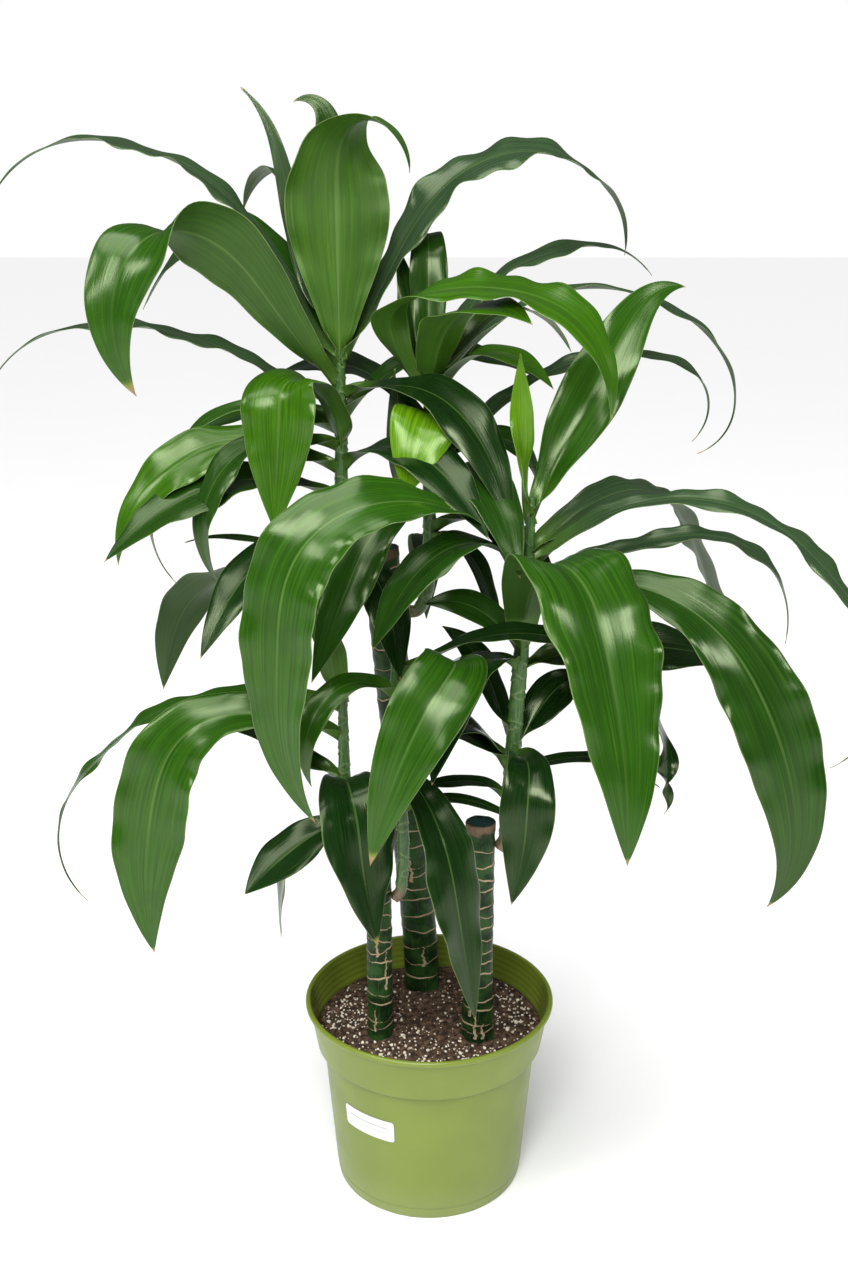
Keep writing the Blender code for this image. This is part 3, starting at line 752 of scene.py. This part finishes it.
def stem_material():
    """Fresh green, paler at each overlapping edge, browner towards the foot."""
    made, tree, shader, place = new_material("green_stem", 0.42)
    stretched = node(tree, "ShaderNodeMapping", None, {0: place, 3: (1.0, 1.0, 0.08)}).outputs[0]
    streaks = noise(tree, stretched, 900.0, 3.0, 0.6)
    lip = stored(tree, "lip")
    foot = stored(tree, "foot")
    streaked = between(tree, streaks, 0.35, 0.65)
    green = blended(tree, streaked, (0.030, 0.085, 0.018), (0.075, 0.170, 0.035))
    colour = blended(tree, times(tree, lip, 0.6), green, (0.22, 0.30, 0.12))
    brown = blended(tree, streaks, (0.070, 0.040, 0.022), (0.26, 0.17, 0.10))
    colour = blended(tree, foot, colour, brown)
    tree.links.new(colour, shader.inputs["Base Color"])
    bumped(tree, shader, streaks, 0.0003, 0.5)
    return made


def make_shoot(name, points, material):
    """A tube with sloping steps: its radius drops at each clasping edge and grows below the next."""
    path = smooth_path(points, 0.0009)
    steps = 48
    clasp_spacing = 0.016
    swollen = 0.012
    gaps = np.linalg.norm(np.diff(path[:, :3], axis=0), axis=1)
    along = np.concatenate(([0.0], gaps.cumsum()))[:, None]
    angle = np.linspace(0, 2 * np.pi, steps, endpoint=False)[None]
    lean = 0.30 * np.sin(angle + 2.4 * np.floor(along / clasp_spacing))
    step = (along / clasp_spacing + lean) % 1.0
    radii = path[:, 3:4] * (1.16 + 0.12 * (1 - step)) + 0.0004 * np.exp(-((step / 0.08) ** 2))
    radii = radii + 0.0013 * np.clip(1 - along / swollen, 0, 1) * (0.6 + 0.4 * np.sin(5 * angle))
    points = tube_surface(path, radii, steps).reshape(-1, 3)
    faces = grid_faces(len(path), steps, closed=True)[:, ::-1]
    piece = mesh_piece(f"stem_{name}", points, faces, material)
    tinted(piece, np.exp(-((step / 0.10) ** 2)).ravel(), "lip")
    tinted(piece, (np.clip(1.35 - along / clasp_spacing, 0, 1) + 0 * angle).ravel(), "foot")
    fill_ends(piece.data)
    return piece


stem_green = stem_material()
for name, points in SHOOTS.items():
    stem = make_shoot(name, points, stem_green)
    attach(stem, "root")
    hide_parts(f"shoot_{name}")


# ---------------------------------------------------------------- the leaves
# Long strap-like leaves, glossy above and duller below, folded along a pale midrib.  Each clasps
# its shoot, rises, arches over under its own weight and ends in a fine point, some of them dry.

LEAF_THICKNESS = 0.0007
LEAF_STAND_OFF = 0.0034
LEAF_TONES = {
    # colour of the upper side, set leaf by leaf: partly each leaf's own green, and partly painted
    # light,
    #     # the brightest tones stand in for painted backlight glowing through the blade, the darkest
    #     for painted shade among the inner leaves
    "deep": (0.005, 0.023, 0.003),
    "dark": (0.011, 0.045, 0.003),
    "mid": (0.017, 0.068, 0.003),
    "fresh": (0.028, 0.098, 0.002),
    "lime": (0.085, 0.215, 0.003),
    "olive": (0.030, 0.082, 0.002),
    "grey": (0.028, 0.060, 0.022),
}

# Each row: name, height where it leaves the shoot, length, width, headings, pitches, rolls, tone.
# Angles are in degrees, evenly spread from base to tip: heading is the turn about +Z and pitch
# the angle above the horizontal.  A positive roll lifts the left margin, as seen from the shoot.
# A row may end with its own first one, two or all three values of USUAL_LOOK, which are where
# along its length a leaf is widest, how wavy its margins are and how much of its tip is dry.
USUAL_LOOK = (0.54, 0.8, 0.02)
LEAVES = {
    "left_top": [
        ("far_arch", 0.832, 0.44, 0.034, (170,), (58, 60, 30, -2, -55), (-10,), "grey", 0.64, 1.6),
        ("big_fold", 0.815, 0.385, 0.078, (205, 215), (50, 52, 50, 15, -50, -90, -125),
         (10, 50, 55, 35, -40, -55, -60), "mid", 0.54, 0.8, 0.05),
        ("behind_fold", 0.82, 0.3, 0.075, (158,), (66, 58, 28, -35, -60), (-5, -30, -30), "dark"),
        ("low_arch", 0.793, 0.38, 0.03, (165, 172), (28, 24, 8, -12, -55), (-10,), "grey", 0.54, 1.6),
        ("young_spear", 0.87, 0.23, 0.02, (156, 166, 176), (42, 74, 79, 72, 40), (-30, -75, -80, -80),
         "grey", 0.46),
        ("back_fold", 0.84, 0.28, 0.045, (130,), (80, 75, 60, 0, -70), (0,), "grey"),
        ("back_upright", 0.843, 0.252, 0.054, (90, 100, 130, 165, 180), (76, 77, 79, 84, 86, 78, -30),
         (0, -10, -40, -70, -80), "dark", 0.46),
        ("broad_upright", 0.84, 0.29, 0.098, (270, 270, 270, 275, 320, 345, 345),
         (86, 89, 90, 90, 58, -30, -88), (0,), "fresh", 0.46),
        ("right_arch", 0.838, 0.425, 0.054, (26, 12, 12), (60, 62, 55, 29, -6, -45, -97),
         (0, 30, 20, 0), "grey", 0.64, 1.6),
        ("front_fold", 0.757, 0.238, 0.072, (270, 222, 212, 245, 240, 235, 235),
         (66, 60, 25, -72, -84, -84, -84), (0, 0, 0, -10, -25, -30, -30), "fresh"),
        ("right_drape", 0.806, 0.245, 0.048, (333, 320), (20, -1, -36, -62, -72), (0, 35, 40), "deep",
         0.54, 1.2),
        ("left_short", 0.772, 0.215, 0.035, (160, 172), (12, 8, -15, -45, -90), (-20,), "mid", 0.54,
         1.6, 0.04),
        ("left_ribbon", 0.785, 0.31, 0.02, (178, 182), (18, -5, -50, -80, -135), (-20,), "mid", 0.54,
         1.6, 0.04),
        ("left_curl", 0.757, 0.235, 0.035, (208, 214), (15, 0, -45, -85, -125), (-20,), "dark", 0.54,
         1.6),
        ("left_broad", 0.735, 0.27, 0.05, (192, 196), (25, 15, -25, -50, -88), (-10, -50, -40),
         "fresh", 0.54, 1.2),
        ("thin_curl", 0.645, 0.15, 0.012, (180,), (20, 15, 10, 0, -20), (-20,), "dark"),
        ("left_hang", 0.622, 0.275, 0.062, (165,), (8, 0, -30, -68, -82), (0, 30, 60), "grey"),
        ("inner_left", 0.705, 0.245, 0.06, (200, 205), (34, 10, -14, -32, -42), (0, -25, -25), "dark"),
        ("inner_right", 0.738, 0.205, 0.052, (318,), (40, 12, -20, -42, -50), (0, 25, 25), "deep"),
        ("inner_low_left", 0.662, 0.2, 0.05, (222,), (24, -4, -32, -52, -60), (0, -25), "deep"),
        ("inner_back", 0.785, 0.22, 0.046, (22,), (54, 32, 6, -16, -30), (0, 30), "dark"),
        ("inner_front_low", 0.64, 0.16, 0.044, (300,), (30, -10, -50, -70, -78), (0, 15), "deep"),
    ],
    "middle_top": [
        ("back_upright", 0.832, 0.185, 0.037, (90,), (80, 80, 75, 0, -70), (0,), "dark", 0.46),
        ("back_short", 0.81, 0.14, 0.03, (130,), (75, 75, 75, 70, 60), (0,), "dark"),
        ("bright_arch", 0.8, 0.385, 0.056, (200, 240, 325, 335, 335, 335, 335),
         (64, 54, 22, 2, -18, -58, -98), (0, 20, 20), "fresh", 0.64, 1.2),
        ("back_arch", 0.818, 0.3, 0.03, (28, 22), (70, 50, 20, 0, -50), (0, 20), "grey", 0.64, 1.6),
        ("long_ribbon", 0.812, 0.445, 0.028, (5, 12), (52, 40, 12, -15, -40, -82, -165), (0, 20),
         "grey", 0.64, 1.6, 0.04),
        ("front_broad", 0.806, 0.205, 0.062, (280, 318), (68, 50, 25, 0, -30), (0, 20), "fresh"),
        ("front_olive", 0.795, 0.15, 0.048, (332, 342), (62, 50, 12, -30, -50), (0, 20), "fresh"),
        ("back_right", 0.8, 0.25, 0.05, (45,), (55, 45, 10, -25, -50), (0, 20), "olive"),
        ("right_ribbon", 0.735, 0.38, 0.025, (15,), (50, 35, 8, -25, -140), (20,), "grey", 0.64, 1.6,
         0.04),
        ("grey_arch", 0.735, 0.14, 0.04, (0,), (45, 30, -10, -60, -75), (20,), "dark", 0.64),
        ("front_hang", 0.69, 0.24, 0.048, (245, 225, 205), (30, -10, -55, -64, -68), (0, -30, -50),
         "dark"),
        ("bright_fold", 0.742, 0.156, 0.064, (270, 270, 235, 198), (80, 62, -30, -70, -74),
         (0, 0, -30, -50), "lime"),
        ("right_hang", 0.665, 0.13, 0.03, (325,), (20, -30, -60, -70, -75), (0,), "deep"),
        ("back_hang", 0.62, 0.2, 0.04, (90,), (60, 20, -40, -80, -85), (0,), "deep"),
        ("dark_spear", 0.7, 0.14, 0.02, (200,), (30, 80, 90, 95), (30,), "deep"),
        ("inner_front", 0.722, 0.19, 0.05, (302,), (44, 8, -30, -56, -66), (0, 10, 20), "dark"),
        ("inner_right", 0.676, 0.175, 0.044, (332,), (34, 6, -36, -60, -70), (0, 25), "deep"),
        ("inner_back_left", 0.772, 0.2, 0.046, (150,), (56, 36, 10, -12, -30), (0, -30), "deep"),
    ],
    "right": [
        ("long_left", 0.625, 0.54, 0.074, (205, 215, 204, 191, 188, 185),
         (80, 30, -12, -78, -92, -124), (0, -20, -50, -60, -60), "mid", 0.62),
        ("broad_upright", 0.705, 0.27, 0.06, (30,), (68, 60, 57, 50, -10), (10, 55, 60), "mid", 0.46,
         1.2),
        ("young_spear", 0.7, 0.15, 0.029, (180,), (88,), (0, -20, -80, -110), "lime", 0.46),
        ("back_broad", 0.668, 0.43, 0.066, (34,), (40, 8, -52, -68, -66), (20,), "grey", 0.64, 1.2),
        ("glossy_front", 0.568, 0.428, 0.11, (270, 292, 301, 293, 272), (84, 40, -57, -70, -90), (0,),
         "mid", 0.5),
        ("far_arch", 0.655, 0.52, 0.032, (350,), (52, 10, -38, -68, -150), (20,), "grey", 0.64, 1.6,
         0.04),
        ("thin_arch", 0.628, 0.33, 0.027, (10, 3), (42, 16, 0, -50, -100), (20,), "grey", 0.64, 1.6),
        ("broad_right", 0.614, 0.47, 0.076, (335,), (42, 8, -28, -56, -70, -88, -125),
         (0, 30, 50, 60, 60), "dark", 0.62),
        ("back_flat", 0.56, 0.24, 0.056, (20,), (12, 3, -8, -14, -16), (40,), "deep"),
        ("left_dark", 0.46, 0.12, 0.04, (200,), (60, 60, 20, -30, -60), (0, -30), "deep"),
        ("left_black", 0.465, 0.12, 0.035, (200,), (45, 35, 10, -10), (-20,), "deep"),
        ("left_small", 0.43, 0.085, 0.02, (185,), (50, 20, 0, -5, -15), (-20,), "deep"),
        ("front_fold", 0.468, 0.185, 0.052, (285, 275, 252, 226, 215), (40, -8, -78, -76, -72),
         (0, 0, -18, -40, -50), "deep"),
        ("low_strip", 0.452, 0.16, 0.018, (15,), (20, 5, -10, -35, -40), (20,), "deep", 0.54, 0.8,
         0.04),
        ("right_short", 0.485, 0.1, 0.045, (30,), (60, 50, 40, 10, -30), (30,), "deep"),
        ("left_bend", 0.58, 0.1, 0.035, (175,), (60, 40, 10, -20), (-40,), "dark"),
        ("left_upright", 0.49, 0.125, 0.035, (152,), (76, 70, 60, 40, 20), (0, -40), "deep"),
        ("inner_left", 0.655, 0.205, 0.05, (212,), (48, 16, -26, -52, -62), (0, -25), "dark"),
        ("inner_front_low", 0.56, 0.185, 0.046, (232,), (40, 4, -40, -66, -74), (0, -25), "deep"),
    ],
    "left_low": [
        ("glossy_left", 0.492, 0.385, 0.078, (180, 192, 195), (28, -2, -68, -84, -100),
         (-10, -40, -60, -65, -65), "mid", 0.62),
        ("far_ribbon", 0.52, 0.475, 0.026, (160, 168), (14, -6, -18, -40, -50, -85, -140), (-20,),
         "mid", 0.54, 1.6, 0.04),
        ("back_left", 0.45, 0.2, 0.028, (160,), (20, 25, 5, -5), (-20,), "dark"),
        ("lime_spear", 0.527, 0.096, 0.03, (240,), (76,), (0, 50), "fresh"),
        ("back_upright", 0.545, 0.13, 0.03, (140,), (68, 68, 62, 40), (0, -20), "mid"),
        ("small_spear", 0.54, 0.08, 0.012, (180,), (88,), (60,), "dark"),
        ("front_dark", 0.44, 0.22, 0.074, (272, 280, 296, 312, 318), (55, 5, -72, -76, -72), (0,),
         "deep", 0.54, 0.8, 0.05),
        ("low_left", 0.405, 0.115, 0.056, (208,), (-10, -30, -40), (-20,), "deep"),
        ("low_hang", 0.398, 0.155, 0.036, (175,), (0, -40, -72, -86, -92), (-20,), "dark"),
    ],
    "front_low": [
        ("long_dark", 0.552, 0.375, 0.048, (348, 346, 344, 346, 346, 352, 0),
         (38, 26, 4, -22, -54, -78, -128), (0, 30), "deep", 0.64),
        ("left_curl", 0.535, 0.17, 0.03, (220,), (45, 10, -40, -80, -115), (-20,), "mid"),
        ("bright_front", 0.49, 0.34, 0.068, (322, 318, 225, 200, 200), (66, 50, -42, -68, -77),
         (0, 0, -40, -65, -65), "mid", 0.54, 0.8, 0.05),
        ("glossy_hang", 0.45, 0.27, 0.058, (290, 308, 312), (30, -35, -72, -76, -76), (0,), "deep"),
        ("small_right", 0.42, 0.12, 0.015, (350,), (30, 5, -20, -25), (20,), "deep", 0.54, 0.8, 0.04),
    ],
}


def on_shoot(shoot, height):
    """The point on a shoot's axis at a height, with the stem's radius there."""
    keys = np.asarray(SHOOTS[shoot], dtype=float)
    return np.array([np.interp(height, keys[:, 2], keys[:, k]) for k in range(4)])


def blade_width(places, width, widest):
    """Width along a leaf: a broad clasping base, widest at `widest`, then a long drawn-out point."""
    clasp_width, narrow_leaf, least_width = 0.025, 0.030, 0.0022
    base = clasp_width / max(width, narrow_leaf)
    swell = np.sin(np.clip(places / widest, 0, 1) * np.pi / 2) ** 1.7
    taper = np.clip((places - widest) / (1 - widest), 0, 1)
    point = 1 - taper**1.5
    share = np.where(places < widest, base + (1 - base) * swell, point)
    tip = np.clip((1 - places) / 0.012, 0.12, 1)
    return np.maximum(width * share, least_width) * tip


def leaf_surface(shoot, height, length, width, widest, headings, pitches, rolls, waves, seed):
    """Points (along, across) of a leaf's middle surface and its upward normals.

    The midrib is the running sum of equal steps in the direction (heading, pitch); the side
    direction is level and square to the heading, then rolled about the midrib.  Across, each
    half rises from the midrib by the fold angle, curls down near the margin, and carries low
    lengthwise pleats; the margins wave out of step with each other.
    """
    rng = np.random.default_rng(seed)
    rows, columns = 97, 17
    places = np.linspace(0.0, 1.0, rows)
    heading, pitch, roll = (np.radians(eased(keys, places)) for keys in (headings, pitches, rolls))
    along = np.stack(
        (np.cos(pitch) * np.cos(heading), np.cos(pitch) * np.sin(heading), np.sin(pitch)), axis=-1
    )
    level = np.stack((-np.sin(heading), np.cos(heading), np.zeros_like(heading)), axis=-1)
    upper = np.cross(along, level)
    roll = roll[:, None]
    side = level * np.cos(roll) + upper * np.sin(roll)
    face = upper * np.cos(roll) - level * np.sin(roll)
    x, y, z, radius = on_shoot(shoot, height)
    outwards = np.array((math.cos(heading[0]), math.sin(heading[0]), 0.0))
    start = np.array((x, y, z)) + (radius + LEAF_STAND_OFF) * outwards
    steps = (along[1:] + along[:-1]) / 2 * length / (rows - 1)
    midrib = start + np.vstack((np.zeros(3), np.cumsum(steps, axis=0)))
    hug = np.clip(1 - places * length / 0.022, 0, 1) ** 2
    midrib -= hug[:, None] * 0.0026 * outwards
    midrib[:, 2] -= hug * 0.004

    u = np.sin(np.linspace(-1, 1, columns) * np.pi / 2 * 0.92) / math.sin(np.pi / 2 * 0.92)
    half = blade_width(places, width, widest)[:, None] / 2
    clasp_fold = 50 * np.exp(-((places * length / 0.016) ** 2))
    fold = np.radians(eased((25, 18, 12, 10, 8), places) + clasp_fold)[:, None]
    size = np.abs(u)[None]
    curl = 0.10 * size**4 * np.sin(np.pi * places[:, None] ** 0.8)
    rise = np.sin(fold) * (np.sqrt(size**2 + 0.006) - 0.0775) - curl
    pleats = 0.0264 * np.cos(2 * np.pi * (3.0 * size + 0.4)) * np.exp(-3.2 * places[:, None])
    turns = rng.uniform(2.2, 3.8, 2) * length / 0.35
    shifts = rng.uniform(0, 2 * np.pi, 2)
    swing = waves * np.sin(np.pi * np.clip(places * 1.05, 0, 1)) ** 0.7
    margins = []
    for k, quick in enumerate((5.3, 4.7)):
        slow_wave = np.sin(2 * np.pi * turns[k] * places + shifts[k])
        quick_wave = np.sin(quick * np.pi * turns[k] * places + shifts[1 - k])
        margins.append((slow_wave + 0.5 * quick_wave)[:, None])
    wave = np.where(u[None] > 0, *margins) * swing[:, None] * size**2.2
    reach = half * np.cos(fold) * u[None]
    lift = half * (rise + pleats + 0.13 * wave)
    surface = midrib[:, None] + reach[..., None] * side[:, None] + lift[..., None] * face[:, None]
    lengthwise = np.gradient(surface, axis=0)
    crosswise = np.gradient(surface, axis=1)
    normal = np.cross(lengthwise, crosswise)
    normal /= np.linalg.norm(normal, axis=2)[..., None]
    return surface, normal, u, places


def leaf_material():
    """Waxy leaf: parallel veins, midrib, pale margin, paler base, dull paler underside, dry tip."""
    made, tree, shader, place = new_material("waxy_leaf", 0.30, 0.42)
    shader.inputs["Specular Tint"].default_value = (0.86, 1.0, 0.62, 1.0)
    spot = node(tree, "ShaderNodeUVMap", {"uv_map": "along"}).outputs[0]
    split = node(tree, "ShaderNodeSeparateXYZ", None, {0: spot})
    across, along = split.outputs[0], split.outputs[1]
    tone = node(tree, "ShaderNodeAttribute", {"attribute_name": "tone"}).outputs[0]
    top = stored(tree, "upper")
    dry = stored(tree, "dry")
    own = stored(tree, "own")

    def streaks(fine, long, detail):
        """Noise drawn out along the leaf, different on each leaf."""
        wide = times(tree, across, fine)
        far = times(tree, along, long)
        where = node(tree, "ShaderNodeCombineXYZ", None, {0: wide, 1: far, 2: own}).outputs[0]
        return noise(tree, where, 1.0, detail, 0.6)

    veins = streaks(46.0, 3.0, 3.0)
    bands = streaks(9.0, 1.6, 2.0)
    blotches = noise(tree, place, 26.0, 2.0)
    middle = calc(tree, "ABSOLUTE", calc(tree, "SUBTRACT", across, 0.5))
    dull = blended(tree, 1.0, tone, (0.66, 0.70, 0.72), "MULTIPLY")
    bright = blended(tree, 1.0, tone, (1.34, 1.26, 1.30), "MULTIPLY")
    colour = blended(tree, between(tree, veins, 0.34, 0.66), dull, bright)
    banded = times(tree, between(tree, bands, 0.52, 0.68), 0.22)
    colour = blended(tree, banded, colour, bright)
    blotched = times(tree, between(tree, blotches, 0.50, 0.70), 0.45)
    colour = blended(tree, blotched, colour, dull)
    below = blended(tree, 0.22, colour, (0.045, 0.095, 0.016))
    colour = blended(tree, top, below, colour)
    young = times(tree, between(tree, along, 0.16, 0.0), 0.60)
    colour = blended(tree, young, colour, (0.085, 0.190, 0.020))
    rib = times(tree, between(tree, middle, 0.022, 0.010), between(tree, along, 0.95, 0.5))
    colour = blended(tree, times(tree, rib, 0.30), colour, (0.130, 0.230, 0.060))
    margin = times(tree, between(tree, middle, 0.484, 0.497), 0.40)
    colour = blended(tree, margin, colour, (0.300, 0.400, 0.150))
    fringe = times(tree, calc(tree, "SUBTRACT", veins, 0.5), 0.9)
    ragged = calc(tree, "ADD", dry, fringe)
    dried = between(tree, ragged, 0.42, 0.62)
    edge_of_dry = times(tree, between(tree, ragged, 0.12, 0.45), 0.6)
    colour = blended(tree, edge_of_dry, colour, (0.260, 0.260, 0.050))
    straw = blended(tree, veins, (0.130, 0.070, 0.030), (0.420, 0.270, 0.140))
    colour = blended(tree, dried, colour, straw)
    tree.links.new(colour, shader.inputs["Base Color"])

    matt = calc(tree, "MULTIPLY_ADD", top, -0.26, 0.46)
    spread = calc(tree, "MULTIPLY_ADD", bands, 0.16, matt)
    rough = calc(tree, "MAXIMUM", calc(tree, "SUBTRACT", spread, 0.06), times(tree, dried, 0.8))
    tree.links.new(rough, shader.inputs["Roughness"])
    relief = calc(tree, "ADD", veins, times(tree, bands, 1.2))
    bumped(tree, shader, relief, 0.00030, 0.35)
    return made


def coloured(piece, colour):
    """Store one colour, called tone, on every vertex for a material to read."""
    layer = piece.data.attributes.new("tone", "FLOAT_COLOR", "POINT")
    values = np.tile(np.array((*colour, 1.0), dtype=np.float32), len(piece.data.vertices))
    layer.data.foreach_set("color", values)


def make_leaf(name, shoot, row, seed, material):
    """A closed blade: the surface moved up and down, thinner at its margins, with a rib below."""
    height, length, width, headings, pitches, rolls, tone, *own_look = row
    widest, waves, dry_share = (*own_look, *USUAL_LOOK[len(own_look):])
    surface, normal, u, places = leaf_surface(
        shoot, height, length, width, widest, headings, pitches, rolls, waves, seed)
    rows, columns = surface.shape[:2]
    above = LEAF_THICKNESS / 2 * (1 - 0.65 * np.abs(u) ** 6)
    rib = 0.0004 * np.exp(-((u / 0.05) ** 2))
    below = np.where(places[:, None] < 0.97, above + rib, 0.4 * (above + rib))
    top = surface + normal * above[None, :, None]
    low = surface - normal * below[..., None]
    points = np.vstack((top.reshape(-1, 3), low.reshape(-1, 3)))
    across = np.repeat((u[None] + 1) / 2, rows, axis=0)
    lengthwise = np.repeat(places[:, None], columns, axis=1)
    one = np.stack((across, lengthwise), axis=-1).reshape(-1, 2)
    faces = closed_sheet_faces(rows, columns)
    piece = mesh_piece(name, points, faces, material, uv=np.vstack((one, one)))
    count = rows * columns
    dry = np.clip((lengthwise - 1 + dry_share) / max(dry_share, 0.001), 0, 1).ravel()
    tinted(piece, np.concatenate((np.ones(count), np.zeros(count))), "upper")
    tinted(piece, np.tile(dry, 2), "dry")
    tinted(piece, np.full(2 * count, seed * 7.3), "own")
    # the tone carries painted backlight glow on the brightest leaves and painted shade on the darkest
    coloured(piece, LEAF_TONES[tone])
    return piece


waxy_leaf = leaf_material()
seed = 100
for shoot, rows in LEAVES.items():
    for name, *row in rows:
        seed += 1
        blade = make_leaf(f"blade_{shoot}_{name}", shoot, row, seed, waxy_leaf)
        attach(blade, "root")
        solid = f"leaf_{shoot}_{name}"
        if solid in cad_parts:
            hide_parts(solid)


# ---------------------------------------------------------------- floor, light and camera
# A plain pale floor under soft, bright, even light: a very soft sun overhead and three window-like
# lights in front.  The white backdrop is seen in full but adds little light.

def area_light(name, place, aim, size, power):
    """A square soft light aimed at a point."""
    lamp = bpy.data.lights.new(name, "AREA")
    lamp.shape = "SQUARE"
    lamp.size = size
    lamp.energy = power
    holder = bpy.data.objects.new(name, lamp)
    bpy.context.scene.collection.objects.link(holder)
    holder.location = place
    holder.rotation_euler = (Vector(aim) - Vector(place)).to_track_quat("-Z", "Y").to_euler()


def make_floor():
    """A large square floor."""
    reach = 40.0
    points = reach * np.array([[-1.0, -1.0, 0.0], [1.0, -1.0, 0.0], [1.0, 1.0, 0.0], [-1.0, 1.0, 0.0]])
    made, tree, shader, place = new_material("pale_floor", 0.6, 0.2)
    cloud = noise(tree, place, 3.0, 2.0)
    colour = blended(tree, cloud, (0.95, 0.95, 0.95), (0.97, 0.97, 0.97))
    tree.links.new(colour, shader.inputs["Base Color"])
    return mesh_piece("pale_floor", points, np.array([[0, 1, 2, 3]]), made, smooth=False)


floor = make_floor()

world = bpy.data.worlds.new("studio")
world.use_nodes = True
sky = world.node_tree
sky.nodes["Background"].inputs[0].default_value = (1.0, 1.0, 1.0, 1.0)
rays = node(sky, "ShaderNodeLightPath")
strength = node(sky, "ShaderNodeMapRange", None, {0: rays.outputs["Is Camera Ray"], 3: 0.10, 4: 1.0})
sky.links.new(strength.outputs[0], sky.nodes["Background"].inputs[1])
bpy.context.scene.world = world
bpy.context.scene.view_settings.view_transform = "Standard"
area_light("window_left", (-1.7, -1.1, 2.1), (0.0, 0.0, 0.6), 0.6, 16.0)
area_light("window_front", (-0.3, -2.3, 2.3), (0.0, 0.0, 0.5), 1.1, 62.0)
area_light("window_right", (1.9, -1.0, 1.8), (0.0, 0.0, 0.6), 0.5, 14.0)
daylight = bpy.data.lights.new("daylight", "SUN")
daylight.energy = 3.1
daylight.angle = math.radians(50)
skylight = bpy.data.objects.new("daylight", daylight)
skylight.rotation_euler = (math.radians(14), math.radians(-8), 0.0)
bpy.context.scene.collection.objects.link(skylight)

camera_data = bpy.data.cameras.new("front")
camera_data.lens = 39.87
camera_data.sensor_width = 36.0
camera_data.sensor_fit = "AUTO"
camera = bpy.data.objects.new("front", camera_data)
bpy.context.scene.collection.objects.link(camera)
camera.location = (-0.0054, -1.280, 0.961)
camera.rotation_euler = (math.radians(90 - 16.31), 0.0, 0.0)
bpy.context.scene.camera = camera

bpy.context.view_layer.update()
